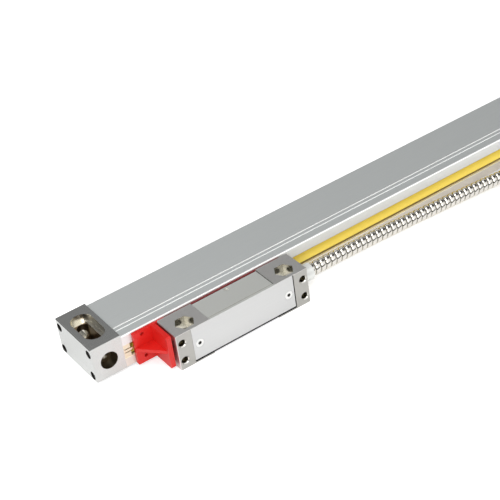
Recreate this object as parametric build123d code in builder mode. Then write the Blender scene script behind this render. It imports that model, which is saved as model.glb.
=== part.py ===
from build123d import *
import math
import os

os.makedirs("parts", exist_ok=True)

# Every helper below takes x from the scale's left end, y back from its front face and z up from its base,
# in mm. The part's own origin is the middle of the base.

# Scale body: driving sizes
MEASURING_LENGTH = 220.0
END_ALLOWANCE = 142.0
TOTAL = MEASURING_LENGTH + END_ALLOWANCE
BLOCK_LENGTH = 18.7
BLOCK_DEPTH = 37.9
BLOCK_HEIGHT = 22.0
GASKET = 1.2
GASKET_INSET = 1.0
GASKET_SEAT = BLOCK_LENGTH - GASKET
HOUSING_DEPTH = BLOCK_DEPTH - 0.6
HOUSING_HEIGHT = BLOCK_HEIGHT - 1.0
HOUSING_START = BLOCK_LENGTH
HOUSING_END = TOTAL - HOUSING_START
CORNER = 0.8
SLIT_Z = HOUSING_HEIGHT / 2 - 0.15
WALL = 2.2
CAVITY = (5.4, HOUSING_DEPTH - 5.1, WALL, HOUSING_HEIGHT - WALL)
CAVITY_CORNER = 2.0
MOUTH_HALF = 4.15
MOUTH = (SLIT_Z - MOUTH_HALF, SLIT_Z + MOUTH_HALF)
MOUTH_LIP = 1.1
CHANNEL = (MOUTH_LIP, MOUTH_LIP + 1.5)
CHANNEL_DEPTH = 1.6
GLASS_GROOVE = (CAVITY[1], HOUSING_DEPTH - 1.8, SLIT_Z - 1.5, SLIT_Z + 1.5)
TOP_GROOVES = (5.9, 8.9)
TOP_GROOVE_SIZE = (0.8, 0.6)

# End blocks and their four screws
PORT_Y = (3.3, HOUSING_DEPTH - 2.8)
PORT_Z = (3.2, HOUSING_HEIGHT - 3.4)
PORT_DEPTH = 9.0
SCREW_R = 1.25
SCREW_CLEAR_R = 1.4
SCREW_HEAD_R = 2.25
SCREW_HEAD = 2.5
SCREW_SUNK = 1.0
SCREW_RECESS_R = 2.5
SLOT_X = 9.6
SLOT_Y = (6.5, BLOCK_DEPTH - 6.4)
SLOT_WIDTH = 12.4
SLOT_DEPTH = 4.75
SLOT_INNER_BACK = 9.1
SLOT_INNER_Y = (9.2, BLOCK_DEPTH - SLOT_INNER_BACK)
SLOT_INNER_WIDTH = 7.5
FRONT_HOLE_R = 3.3
FRONT_BORE_R = 5.2
FRONT_BORE_DEPTH = 7.0
BLOCK_CHAMFER = 0.4

# Glass scale and the slit between the lips
GLASS_THICK = 2.0
GLASS_Y = (13.0, HOUSING_DEPTH - 2.8)
GLASS_END_GAP = 3.0
GLASS_TOP = SLIT_Z + GLASS_THICK / 2
LIP_ROOT = 1.15
LIP_TIP = 5.6
LIP_THICK = 0.55
BLADE_Z = (SLIT_Z - 0.4, SLIT_Z + 0.4)
BLADE_CLEAR = 0.3
LEAD_THICK = 0.2

# Reading head
HEAD_X = 83.2
HEAD_LENGTH = 86.2
HEAD_LEFT = HEAD_X - HEAD_LENGTH / 2
HEAD_RIGHT = HEAD_X + HEAD_LENGTH / 2
HEAD_Y = (-20.1, -1.5)
HEAD_Z = (-2.65, 20.5)
HEAD_MID_Z = (HEAD_Z[0] + HEAD_Z[1]) / 2
HEAD_CHAMFER = 0.4
PAD_LENGTH = 21.6
PAD_STEP_TOP = 0.2
PAD_STEP_BASE = 0.9
PAD_STEP_BACK = 1.1
BODY_Y = (HEAD_Y[0], HEAD_Y[1] - PAD_STEP_BACK)
BODY_Z = (HEAD_Z[0] + PAD_STEP_BASE, HEAD_Z[1] - PAD_STEP_TOP)
COVER_END = 9.4
COVER_THICK = 1.5
COVER_SEAL = 0.5
COVER_GAP = 0.15
COVER_CHAMFER = 0.15
COVER_SCREW_END = 13.7
COVER_THREAD_R = 1.5
COVER_THREAD_DEPTH = 2.4
COVER_CLEAR_R = 1.7
SEAL_INSET = 0.3
HEAD_PLAY = 0.1
TIP_GAP = 0.1
RECESS_Y = HEAD_Y[0] + COVER_THICK + COVER_SEAL
POCKET_END = 17.0
POCKET = (RECESS_Y, -5.0, 1.5, 16.3)
M6_END = 10.4
M6_BACK = 7.3
M6_Y = HEAD_Y[0] + M6_BACK
M6_R = 3.2
HEX_R = 5.8
HEX_DEPTH = 6.2
M4_END = 3.4
M4_DROP = 6.2
M4_RISE = 5.2
M4_Z = (HEAD_MID_Z - M4_DROP, HEAD_MID_Z + M4_RISE)
M4_R = 2.0
M4_SINK_R = 2.6
M4_DEPTH = 5.5
FOOT = (68.4, 98.0, -2.7, -1.5, 4.4, 15.8)
FOOT_GAP = 0.2
FOOT_SCREW_X = (72.2, 94.2)
BLADE_HALF = 11.0
FLANGE = (6.1, 7.2, SLIT_Z - 2.15, SLIT_Z + 2.45)
FLANGE_HALF = 9.0
LEAD_HALF = 3.0
LEAD_SLOT_HALF = 3.4
LEAD_SLOT_TOP = SLIT_Z + 0.9
LEAD_SLOT_BOTTOM = BLADE_Z[1] - 0.2

# Scanning carriage inside the housing
CARRIAGE_HALF = 28.0
CARRIAGE_LOWER_HALF = 18.0
WEB_Y = (7.2, 9.6)
ARM_END = HOUSING_DEPTH - 6.3
UPPER_ARM_RISE = (2.65, 6.85)
LOWER_ARM_DROP = (6.75, 3.45)
UPPER_ARM = (SLIT_Z + UPPER_ARM_RISE[0], SLIT_Z + UPPER_ARM_RISE[1])
LOWER_ARM = (SLIT_Z - LOWER_ARM_DROP[0], SLIT_Z - LOWER_ARM_DROP[1])
ROLLER_R = 3.0
ROLLER_WIDTH = 2.5
ROLLER_BORE_R = 0.78
AXLE_R = 0.75
ROLL_GAP = 0.05
WINDOW_GAP = 0.35
FACE_ROLLER_X = 22.0
ROLLER_BACK = 9.7
FACE_ROLLER_Y = (17.0, HOUSING_DEPTH - ROLLER_BACK)
FACE_ROLLERS = (
    (-FACE_ROLLER_X, FACE_ROLLER_Y[0]),
    (FACE_ROLLER_X, FACE_ROLLER_Y[0]),
    (0, FACE_ROLLER_Y[1]),
)
EDGE_ROLLER_X = 14.0
EDGE_ROLLERS = (-EDGE_ROLLER_X, EDGE_ROLLER_X)
FACE_ROLLER_Z = GLASS_TOP + ROLLER_R + ROLL_GAP
EDGE_ROLLER_Y = GLASS_Y[0] - ROLLER_R - ROLL_GAP
AXLE_REACH = 1.9
EDGE_AXLE_REACH = 3.9
OPTIC_TO_ROLLER = 8.1
OPTIC_Y = FACE_ROLLER_Y[1] - OPTIC_TO_ROLLER

# Conduit, ferrule and the folded length
FERRULE_R = 5.0
FERRULE_REACH = 8.0
FERRULE_END = HEAD_RIGHT + FERRULE_REACH
CONDUIT_R = 4.0
CONDUIT_SUNK = 4.5
CONDUIT_START = FERRULE_END - CONDUIT_SUNK
CABLE_Y = -10.8
CABLE_Z = 9.45
WIRE_Y = -7.6
WIRE_R = 1.2
FLOOR = HEAD_Z[0]
LYING = FLOOR + CONDUIT_R
FOLD_RUN = 138.0
FOLD_R = (28.0, 36.0)
HANK_LEFT = 382.0
HANK_X = HANK_LEFT + FOLD_R[1] + CONDUIT_R + FOLD_RUN / 2
HANK_Y = 2.0
HANK_LAYERS = 3
HANK_HEIGHT = HANK_LAYERS * 2 * CONDUIT_R
HANK_TOP = FLOOR + HANK_HEIGHT
FOLD_LEFT = HANK_X - FOLD_RUN / 2
FOLD_RIGHT = HANK_X + FOLD_RUN / 2
TIE_WIDTH = 6.0
TIE_THICK = 1.0
NOTCH_GAP = 0.8
TAIL_NOTCH_LENGTH = 60.0
TAIL_NOTCH_X = FOLD_RIGHT - TAIL_NOTCH_LENGTH
PLUG_Y = 31.0
HOOD_HEIGHT = 15.0
PLUG_Z = HANK_TOP + HOOD_HEIGHT / 2
HOOD_X = (420.0, 458.0)
HOOD_HALF = 15.5
PLUG_FERRULE = (452.0, 468.0)
TAIL_END = 460.0
JACK_HALF = 12.5


def slab(x, y, z, mode=Mode.ADD):
    """Adds or cuts a plain block between two values of x, of y and of z."""
    middle = ((x[0] + x[1] - TOTAL) / 2, (y[0] + y[1] - BLOCK_DEPTH) / 2, (z[0] + z[1]) / 2)
    with Locations(middle):
        Box(x[1] - x[0], y[1] - y[0], z[1] - z[0], mode=mode)


def around(centre, half):
    return (centre - half, centre + half)


def rod(axis, span, first, second, radius, mode=Mode.ADD):
    """A cylinder along one axis; first and second are its place on the other two axes, in x, y, z order."""
    middle = (span[0] + span[1]) / 2
    if axis == "x":
        place, turn = (middle, first, second), (0, 90, 0)
    elif axis == "y":
        place, turn = (first, middle, second), (90, 0, 0)
    else:
        place, turn = (first, second, middle), (0, 0, 0)
    with Locations(Location((place[0] - TOTAL / 2, place[1] - BLOCK_DEPTH / 2, place[2]), turn)):
        Cylinder(radius, span[1] - span[0], mode=mode)


def patch(y, z, mode=Mode.ADD):
    """A rectangle of the scale's cross-section."""
    with Locations(((y[0] + y[1] - BLOCK_DEPTH) / 2, (z[0] + z[1]) / 2)):
        Rectangle(y[1] - y[0], z[1] - z[0], mode=mode)


def place(x, y, z, facing):
    """A sketch plane facing along one axis, its own x along the part's y (facing +-x) or x."""
    across = (0, 1, 0) if facing[0] else (1, 0, 0)
    return Plane((x - TOTAL / 2, y - BLOCK_DEPTH / 2, z), x_dir=across, z_dir=facing)


def corners(points):
    return [(x - TOTAL / 2, y - BLOCK_DEPTH / 2, z) for x, y, z in points]


def save(part, name):
    part.label = name
    export_step(part, f"parts/{name}.step")


# Housing extrusion: one profile with the mouth, the two seal channels, the glass groove and the screw ports
with BuildPart() as housing:
    with BuildSketch(Plane.YZ.offset(HOUSING_START - TOTAL / 2)):
        with Locations(((HOUSING_DEPTH - BLOCK_DEPTH) / 2, HOUSING_HEIGHT / 2)):
            RectangleRounded(HOUSING_DEPTH, HOUSING_HEIGHT, CORNER)
        with Locations(((CAVITY[0] + CAVITY[1] - BLOCK_DEPTH) / 2, (CAVITY[2] + CAVITY[3]) / 2)):
            RectangleRounded(
                CAVITY[1] - CAVITY[0], CAVITY[3] - CAVITY[2], CAVITY_CORNER, mode=Mode.SUBTRACT
            )
        patch((0, CAVITY[0]), MOUTH, Mode.SUBTRACT)
        patch(CHANNEL, (MOUTH[0] - CHANNEL_DEPTH, MOUTH[1] + CHANNEL_DEPTH), Mode.SUBTRACT)
        patch(GLASS_GROOVE[:2], GLASS_GROOVE[2:], Mode.SUBTRACT)
        for groove in TOP_GROOVES:
            patch(
                around(groove, TOP_GROOVE_SIZE[0] / 2),
                (HOUSING_HEIGHT - TOP_GROOVE_SIZE[1], HOUSING_HEIGHT),
                Mode.SUBTRACT,
            )
    extrude(amount=HOUSING_END - HOUSING_START)
    for port_y in PORT_Y:
        for port_z in PORT_Z:
            rod("x", (HOUSING_START, HOUSING_START + PORT_DEPTH), port_y, port_z, SCREW_R, Mode.SUBTRACT)
            rod("x", (HOUSING_END - PORT_DEPTH, HOUSING_END), port_y, port_z, SCREW_R, Mode.SUBTRACT)
save(housing.part, "scale_housing")


# Glass scale and the rubber strip that grips its back edge in the groove
with BuildPart() as glass:
    slab(
        (HOUSING_START + GLASS_END_GAP, HOUSING_END - GLASS_END_GAP),
        GLASS_Y,
        around(SLIT_Z, GLASS_THICK / 2),
    )
save(glass.part, "glass_scale")

with BuildPart() as strip:
    slab((HOUSING_START, HOUSING_END), GLASS_GROOVE[:2], GLASS_GROOVE[2:])
    slab(
        (HOUSING_START + GLASS_END_GAP, HOUSING_END - GLASS_END_GAP),
        (GLASS_GROOVE[0], GLASS_Y[1]),
        around(SLIT_Z, GLASS_THICK / 2),
        Mode.SUBTRACT,
    )
save(strip.part, "glass_retaining_strip")


# Lip seals: a root that fills its channel and a blade that slants inward to the slit
def lip_seal(side):
    """side is 1 for the upper lip and -1 for the lower."""
    edge = MOUTH[1] if side > 0 else MOUTH[0]
    slit = BLADE_Z[1] + LEAD_THICK + BLADE_CLEAR if side > 0 else BLADE_Z[0] - BLADE_CLEAR
    front = -BLOCK_DEPTH / 2
    with BuildPart() as lip:
        with BuildSketch(Plane.YZ.offset(HOUSING_START - TOTAL / 2)):
            patch(CHANNEL, sorted((edge, edge + side * CHANNEL_DEPTH)))
            with BuildLine():
                Polyline(
                    (front + LIP_ROOT, edge),
                    (front + LIP_TIP, slit),
                    (front + LIP_TIP + LIP_THICK / 3, slit + side * LIP_THICK),
                    (front + LIP_ROOT + 2 * LIP_THICK, edge),
                    close=True,
                )
            make_face()
        extrude(amount=HOUSING_END - HOUSING_START)
    return lip.part


save(lip_seal(1), "upper_lip_seal")
save(lip_seal(-1), "lower_lip_seal")

# End blocks, gaskets, screws, buffers and lip clips, the same at both ends
def from_end(side, distance):
    """A distance in from the left end (side -1) or the right end (side 1)."""
    return distance if side < 0 else TOTAL - distance


def span_from_end(side, near, far):
    return sorted((from_end(side, near), from_end(side, far)))


def gasket_outline():
    return (
        (GASKET_INSET, HOUSING_DEPTH - GASKET_INSET),
        (GASKET_INSET, HOUSING_HEIGHT - GASKET_INSET),
    )


def end_block(side):
    slot_x = from_end(side, SLOT_X) - TOTAL / 2
    with BuildPart() as block:
        slab(span_from_end(side, 0, BLOCK_LENGTH), (0, BLOCK_DEPTH), (0, BLOCK_HEIGHT))
        outer = block.faces().sort_by(Axis.X)[0 if side < 0 else -1]
        chamfer(outer.edges(), BLOCK_CHAMFER)
        top = [edge for edge in block.faces().sort_by(Axis.Z)[-1].edges()]
        chamfer(top, BLOCK_CHAMFER / 2)
        slab(span_from_end(side, GASKET_SEAT, BLOCK_LENGTH), *gasket_outline(), Mode.SUBTRACT)
        with BuildSketch(Plane.XY.offset(BLOCK_HEIGHT)):
            with Locations((slot_x, (sum(SLOT_Y) - BLOCK_DEPTH) / 2)):
                SlotOverall(SLOT_Y[1] - SLOT_Y[0], SLOT_WIDTH, rotation=90)
        extrude(amount=-SLOT_DEPTH, mode=Mode.SUBTRACT)
        with BuildSketch(Plane.XY):
            with Locations((slot_x, (sum(SLOT_INNER_Y) - BLOCK_DEPTH) / 2)):
                SlotOverall(SLOT_INNER_Y[1] - SLOT_INNER_Y[0], SLOT_INNER_WIDTH, rotation=90)
        extrude(amount=BLOCK_HEIGHT, mode=Mode.SUBTRACT)
        with Locations(place(from_end(side, SLOT_X), 0, SLIT_Z, (0, -1, 0))):
            CounterBoreHole(FRONT_HOLE_R, FRONT_BORE_R, FRONT_BORE_DEPTH, BLOCK_DEPTH)
        for port_y in PORT_Y:
            for port_z in PORT_Z:
                with Locations(place(from_end(side, 0), port_y, port_z, (side, 0, 0))):
                    CounterBoreHole(
                        SCREW_CLEAR_R, SCREW_RECESS_R, SCREW_SUNK + SCREW_HEAD, BLOCK_LENGTH
                    )
    return block.part


def end_gasket(side):
    span = span_from_end(side, GASKET_SEAT, BLOCK_LENGTH)
    with BuildPart() as gasket:
        slab(span, *gasket_outline())
        slab(span, CAVITY[:2], CAVITY[2:], Mode.SUBTRACT)
        for port_y in PORT_Y:
            for port_z in PORT_Z:
                rod("x", span, port_y, port_z, SCREW_CLEAR_R, Mode.SUBTRACT)
    return gasket.part


HEX_SOCKET_R = 1.15
HEX_SOCKET_DEPTH = 1.3


def end_screws(side):
    head_inner = SCREW_SUNK + SCREW_HEAD
    with BuildPart() as screws:
        for port_y in PORT_Y:
            for port_z in PORT_Z:
                rod("x", span_from_end(side, SCREW_SUNK, head_inner), port_y, port_z, SCREW_HEAD_R)
                rod(
                    "x",
                    span_from_end(side, head_inner, HOUSING_START + PORT_DEPTH - 1),
                    port_y,
                    port_z,
                    SCREW_R,
                )
                with BuildSketch(place(from_end(side, SCREW_SUNK), port_y, port_z, (side, 0, 0))):
                    RegularPolygon(HEX_SOCKET_R, 6)
                extrude(amount=-HEX_SOCKET_DEPTH, mode=Mode.SUBTRACT)
    return screws.part


for side, end_name in ((-1, "left"), (1, "right")):
    save(end_block(side), f"{end_name}_end_block")
    save(end_gasket(side), f"{end_name}_end_gasket")
    save(end_screws(side), f"{end_name}_end_screws")

CLIP_ROOT = 0.5
CLIP_LENGTH = 4.2
CLIP_TONGUE_LENGTH = 5.7
CLIP_TONGUE_HALF = 0.75
CLIP_SLIT = 0.5
CLIP_Y = (0.15, MOUTH_LIP)
with BuildPart() as clips:
    for side in (-1, 1):
        start = HOUSING_START
        slab(span_from_end(side, start, start + CLIP_LENGTH), CLIP_Y, MOUTH)
        slab(
            span_from_end(side, start + CLIP_ROOT, start + CLIP_LENGTH),
            CLIP_Y,
            around(SLIT_Z, CLIP_TONGUE_HALF + CLIP_SLIT),
            Mode.SUBTRACT,
        )
        tongue = span_from_end(side, start + CLIP_ROOT, start + CLIP_TONGUE_LENGTH)
        slab(tongue, CLIP_Y, around(SLIT_Z, CLIP_TONGUE_HALF))
save(clips.part, "lip_end_clips")

BUFFER_REACH = 6.2
BUFFER_Y = (12.0, 26.0)
BUFFER_RISE = (2.85, 7.05)
BUFFER_Z = (SLIT_Z + BUFFER_RISE[0], SLIT_Z + BUFFER_RISE[1])
BUFFER_ROUND = 1.0
with BuildPart() as buffers:
    for side in (-1, 1):
        slab(span_from_end(side, GASKET_SEAT, GASKET_SEAT + BUFFER_REACH), BUFFER_Y, BUFFER_Z)
    fillet(buffers.edges().filter_by(Axis.X), BUFFER_ROUND)
save(buffers.part, "end_buffers")


# Reading head: body with raised end pads, recessed cover, hex pockets, through holes and front threads
ENDS = (-1, 1)
FERRULE_RECESS_R = 4.5
FERRULE_RECESS = 6.3
FERRULE_RECESS_X = HEAD_RIGHT - FERRULE_RECESS
PASSAGE_R = 1.6
BOARD_ENDS = (19.4, 23.3)
BOARD_X = (HEAD_LEFT + BOARD_ENDS[0], HEAD_RIGHT - BOARD_ENDS[1])
BOARD_Y = (-8.6, -7.4)
PILLAR_INSET = 3.5
PILLAR_X = (BOARD_X[0] + PILLAR_INSET, BOARD_X[1] - PILLAR_INSET)
PILLAR_R = 2.0
BOARD_Z = (2.6, 15.4)
BOARD_SCREW_R = 1.0
PEG_Z = (4.0, 14.0)
PEG_R = 1.5
PEG_DEPTH = 2.5
PEG_TIP_X = HEAD_LEFT + PEG_DEPTH
DIMPLE = (HEAD_X, -4.7, 1.5, 0.8)


def head_x(end, distance):
    """A distance in from the head's left end (-1) or right end (1)."""
    return HEAD_LEFT + distance if end < 0 else HEAD_RIGHT - distance


with BuildPart() as head:
    slab((HEAD_LEFT, HEAD_RIGHT), BODY_Y, BODY_Z)
    slab((HEAD_LEFT, HEAD_LEFT + PAD_LENGTH), HEAD_Y, HEAD_Z)
    slab((HEAD_RIGHT - PAD_LENGTH, HEAD_RIGHT), HEAD_Y, HEAD_Z)
    chamfer(head.faces().sort_by(Axis.X)[0].edges(), HEAD_CHAMFER)
    chamfer(head.faces().sort_by(Axis.X)[-1].edges(), HEAD_CHAMFER)
    slab((head_x(-1, COVER_END), head_x(1, COVER_END)), (HEAD_Y[0], RECESS_Y), BODY_Z, Mode.SUBTRACT)
    slab((head_x(-1, POCKET_END), head_x(1, POCKET_END)), POCKET[:2], POCKET[2:], Mode.SUBTRACT)
    for x in PILLAR_X:
        rod("y", (BOARD_Y[1], POCKET[1]), x, HEAD_MID_Z, PILLAR_R)
        rod("y", (BOARD_Y[1], POCKET[1]), x, HEAD_MID_Z, BOARD_SCREW_R, Mode.SUBTRACT)
    slab(
        (FOOT[0] - FOOT_GAP, FOOT[1] + FOOT_GAP),
        FOOT[2:4],
        (FOOT[4] - FOOT_GAP, FOOT[5] + FOOT_GAP),
        Mode.SUBTRACT,
    )
    slab(
        around(HEAD_X, LEAD_SLOT_HALF), (POCKET[1], FOOT[2]), (LEAD_SLOT_BOTTOM, LEAD_SLOT_TOP), Mode.SUBTRACT
    )
    for x in FOOT_SCREW_X:
        rod("y", (POCKET[1], FOOT[2]), x, SLIT_Z, SCREW_R, Mode.SUBTRACT)
    for end in ENDS:
        rod("z", HEAD_Z, head_x(end, M6_END), M6_Y, M6_R, Mode.SUBTRACT)
        with BuildSketch(place(head_x(end, M6_END), M6_Y, HEAD_Z[1], (0, 0, 1))):
            RegularPolygon(HEX_R, 6)
        extrude(amount=-HEX_DEPTH, mode=Mode.SUBTRACT)
        for z in M4_Z:
            with Locations(place(head_x(end, M4_END), HEAD_Y[0], z, (0, -1, 0))):
                CounterSinkHole(M4_R, M4_SINK_R, M4_DEPTH)
        screw_x = head_x(end, COVER_SCREW_END)
        thread = (RECESS_Y, RECESS_Y + COVER_THREAD_DEPTH)
        rod("y", thread, screw_x, HEAD_MID_Z, COVER_THREAD_R, Mode.SUBTRACT)
    rod("x", (FERRULE_RECESS_X, HEAD_RIGHT), CABLE_Y, CABLE_Z, FERRULE_RECESS_R, Mode.SUBTRACT)
    rod("x", (HEAD_RIGHT - POCKET_END, FERRULE_RECESS_X), WIRE_Y, CABLE_Z, PASSAGE_R, Mode.SUBTRACT)
    for z in PEG_Z:
        rod("x", (HEAD_LEFT, PEG_TIP_X), CABLE_Y, z, PEG_R, Mode.SUBTRACT)
    rod("z", (BODY_Z[1] - DIMPLE[3], BODY_Z[1]), DIMPLE[0], DIMPLE[1], DIMPLE[2], Mode.SUBTRACT)
save(head.part, "head_body")

with BuildPart() as cover_seal:
    span_x = (head_x(-1, COVER_END) + SEAL_INSET, head_x(1, COVER_END) - SEAL_INSET)
    span_z = (BODY_Z[0] + SEAL_INSET, BODY_Z[1] - SEAL_INSET)
    slab(span_x, (RECESS_Y - COVER_SEAL, RECESS_Y), span_z)
    slab(
        (head_x(-1, POCKET_END), head_x(1, POCKET_END)),
        (RECESS_Y - COVER_SEAL, RECESS_Y),
        POCKET[2:],
        Mode.SUBTRACT,
    )
    for end in ENDS:
        span_y = (RECESS_Y - COVER_SEAL, RECESS_Y)
        rod("y", span_y, head_x(end, COVER_SCREW_END), HEAD_MID_Z, COVER_CLEAR_R, Mode.SUBTRACT)
save(cover_seal.part, "cover_gasket")

COVER_HEAD_R = 2.5
COVER_HEAD = 1.0
COVER_SOCKET = 0.8
with BuildPart() as cover:
    slab(
        (head_x(-1, COVER_END) + COVER_GAP, head_x(1, COVER_END) - COVER_GAP),
        (HEAD_Y[0], HEAD_Y[0] + COVER_THICK),
        BODY_Z,
    )
    chamfer(cover.faces().sort_by(Axis.Y)[0].edges(), COVER_CHAMFER)
    for end in ENDS:
        with Locations(place(head_x(end, COVER_SCREW_END), HEAD_Y[0], HEAD_MID_Z, (0, -1, 0))):
            CounterBoreHole(COVER_CLEAR_R, COVER_HEAD_R + HEAD_PLAY, COVER_HEAD, COVER_THICK)
save(cover.part, "cover_plate")

with BuildPart() as cover_screws:
    for end in ENDS:
        x = head_x(end, COVER_SCREW_END)
        rod("y", (HEAD_Y[0], HEAD_Y[0] + COVER_HEAD), x, HEAD_MID_Z, COVER_HEAD_R)
        shank = (HEAD_Y[0] + COVER_HEAD, RECESS_Y + COVER_THREAD_DEPTH - TIP_GAP)
        rod("y", shank, x, HEAD_MID_Z, COVER_THREAD_R)
        with BuildSketch(place(x, HEAD_Y[0], HEAD_MID_Z, (0, -1, 0))):
            RegularPolygon(HEX_SOCKET_R, 6)
        extrude(amount=-COVER_SOCKET, mode=Mode.SUBTRACT)
save(cover_screws.part, "cover_screws")


# Coupling arm: foot in the head's back, blade through the slit, flange on the carriage
FOOT_SCREW_HEAD_R = 2.2
FOOT_SCREW_HEAD = 0.7
FLANGE_SCREW_X = 6.5
FLANGE_SCREW_Z = SLIT_Z + 0.85
FLANGE_SCREW_R = 0.8
FLANGE_HEAD_R = 1.5
FLANGE_HEAD = 1.1
with BuildPart() as arm:
    slab(FOOT[0:2], FOOT[2:4], FOOT[4:6])
    slab(around(HEAD_X, BLADE_HALF), (FOOT[2], FLANGE[0]), BLADE_Z)
    slab(around(HEAD_X, FLANGE_HALF), FLANGE[0:2], FLANGE[2:4])
    slab(around(HEAD_X, LEAD_SLOT_HALF), FOOT[2:4], (BLADE_Z[1], LEAD_SLOT_TOP), Mode.SUBTRACT)
    slab(around(HEAD_X, LEAD_SLOT_HALF), FLANGE[0:2], (BLADE_Z[1], LEAD_SLOT_TOP), Mode.SUBTRACT)
    for x in FOOT_SCREW_X:
        with Locations(place(x, FOOT[3], SLIT_Z, (0, 1, 0))):
            CounterBoreHole(
                SCREW_R + HEAD_PLAY, FOOT_SCREW_HEAD_R + HEAD_PLAY, FOOT_SCREW_HEAD, FOOT[3] - FOOT[2]
            )
    for x in (-FLANGE_SCREW_X, FLANGE_SCREW_X):
        rod("y", FLANGE[0:2], HEAD_X + x, FLANGE_SCREW_Z, FLANGE_SCREW_R, Mode.SUBTRACT)
save(arm.part, "coupling_arm")

with BuildPart() as arm_screws:
    for x in FOOT_SCREW_X:
        rod("y", (FOOT[3] - FOOT_SCREW_HEAD, FOOT[3]), x, SLIT_Z, FOOT_SCREW_HEAD_R)
        rod("y", (POCKET[1], FOOT[3] - FOOT_SCREW_HEAD), x, SLIT_Z, SCREW_R)
    for x in (-FLANGE_SCREW_X, FLANGE_SCREW_X):
        rod("y", (WEB_Y[1], WEB_Y[1] + FLANGE_HEAD), HEAD_X + x, FLANGE_SCREW_Z, FLANGE_HEAD_R)
        rod("y", (FLANGE[0], WEB_Y[1]), HEAD_X + x, FLANGE_SCREW_Z, FLANGE_SCREW_R)
save(arm_screws.part, "arm_screws")


# Scanning carriage: a C-frame round the glass, with windows for the rollers and seats for the optics
LED_R = 2.0
LED_ROUND = 0.4
LED_Z = (UPPER_ARM[1] - 1.8, UPPER_ARM[1] + 0.5)
LENS_R = 4.0
LENS_Z = (UPPER_ARM[0], UPPER_ARM[0] + 1.6)
PATH_R = 1.5
CARRIAGE_ROUND = 1.0
with BuildPart() as carriage:
    slab(around(HEAD_X, CARRIAGE_HALF), (WEB_Y[0], ARM_END), UPPER_ARM)
    slab(around(HEAD_X, CARRIAGE_LOWER_HALF), (WEB_Y[0], ARM_END), LOWER_ARM)
    slab(around(HEAD_X, CARRIAGE_LOWER_HALF), WEB_Y, (LOWER_ARM[0], UPPER_ARM[1]))
    fillet(carriage.edges().filter_by(Axis.Z), CARRIAGE_ROUND)
    for x in EDGE_ROLLERS:
        slab(
            around(HEAD_X + x, ROLLER_R + WINDOW_GAP),
            WEB_Y,
            around(SLIT_Z, ROLLER_WIDTH / 2 + WINDOW_GAP),
            Mode.SUBTRACT,
        )
        span_z = around(SLIT_Z, ROLLER_WIDTH / 2 + EDGE_AXLE_REACH)
        rod("z", span_z, HEAD_X + x, EDGE_ROLLER_Y, AXLE_R, Mode.SUBTRACT)
    for x, y in FACE_ROLLERS:
        slab(
            around(HEAD_X + x, ROLLER_R + WINDOW_GAP),
            around(y, ROLLER_WIDTH / 2 + WINDOW_GAP),
            UPPER_ARM,
            Mode.SUBTRACT,
        )
        rod("y", around(y, ROLLER_WIDTH / 2 + AXLE_REACH), HEAD_X + x, FACE_ROLLER_Z, AXLE_R, Mode.SUBTRACT)
    rod("z", UPPER_ARM, HEAD_X, OPTIC_Y, PATH_R, Mode.SUBTRACT)
    rod("z", LENS_Z, HEAD_X, OPTIC_Y, LENS_R, Mode.SUBTRACT)
    rod("z", (LED_Z[0], UPPER_ARM[1]), HEAD_X, OPTIC_Y, LED_R, Mode.SUBTRACT)
    slab(around(HEAD_X, LEAD_SLOT_HALF), WEB_Y, (LEAD_SLOT_BOTTOM, LEAD_SLOT_TOP), Mode.SUBTRACT)
    for x in (-FLANGE_SCREW_X, FLANGE_SCREW_X):
        rod("y", WEB_Y, HEAD_X + x, FLANGE_SCREW_Z, FLANGE_SCREW_R, Mode.SUBTRACT)
save(carriage.part, "scanning_carriage")

with BuildPart() as led:
    rod("z", LED_Z, HEAD_X, OPTIC_Y, LED_R)
    fillet(led.edges().group_by(Axis.Z)[-1], LED_ROUND)
save(led.part, "led_light_source")

with BuildPart() as lens:
    rod("z", LENS_Z, HEAD_X, OPTIC_Y, LENS_R)
save(lens.part, "collimator_lens")

PHOTO_BOARD_Z = (LOWER_ARM[1], LOWER_ARM[1] + 1.0)
PHOTO_BOARD_HALF = 9.0
PHOTO_BOARD_Y = (10.6, 27.0)
RETICLE_Z = (PHOTO_BOARD_Z[1], SLIT_Z - GLASS_THICK / 2 - 0.3)
RETICLE_HALF = 6.0
LEAD_Y = 11.2
LEAD_TO_RETICLE = 2.8
RETICLE_BACK = 5.5
RETICLE_Y = (LEAD_Y + LEAD_TO_RETICLE, OPTIC_Y + RETICLE_BACK)
with BuildPart() as photo_board:
    slab(around(HEAD_X, PHOTO_BOARD_HALF), PHOTO_BOARD_Y, PHOTO_BOARD_Z)
save(photo_board.part, "photocell_board")

with BuildPart() as reticle:
    slab(around(HEAD_X, RETICLE_HALF), RETICLE_Y, RETICLE_Z)
save(reticle.part, "index_reticle")

with BuildPart() as axles:
    for x in EDGE_ROLLERS:
        rod("z", around(SLIT_Z, ROLLER_WIDTH / 2 + EDGE_AXLE_REACH), HEAD_X + x, EDGE_ROLLER_Y, AXLE_R)
    for x, y in FACE_ROLLERS:
        rod("y", around(y, ROLLER_WIDTH / 2 + AXLE_REACH), HEAD_X + x, FACE_ROLLER_Z, AXLE_R)
save(axles.part, "roller_axles")


ROLLER_CHAMFER = 0.2


def roller(axis, span, first, second):
    with BuildPart() as wheel:
        rod(axis, span, first, second, ROLLER_R)
        chamfer(wheel.edges(), ROLLER_CHAMFER)
        rod(axis, span, first, second, ROLLER_BORE_R, Mode.SUBTRACT)
    return wheel.part


for number, (x, y) in enumerate(FACE_ROLLERS, 1):
    save(roller("y", around(y, ROLLER_WIDTH / 2), HEAD_X + x, FACE_ROLLER_Z), f"guide_roller_{number}")
for number, x in enumerate(EDGE_ROLLERS, len(FACE_ROLLERS) + 1):
    save(roller("z", around(SLIT_Z, ROLLER_WIDTH / 2), HEAD_X + x, EDGE_ROLLER_Y), f"guide_roller_{number}")


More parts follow.
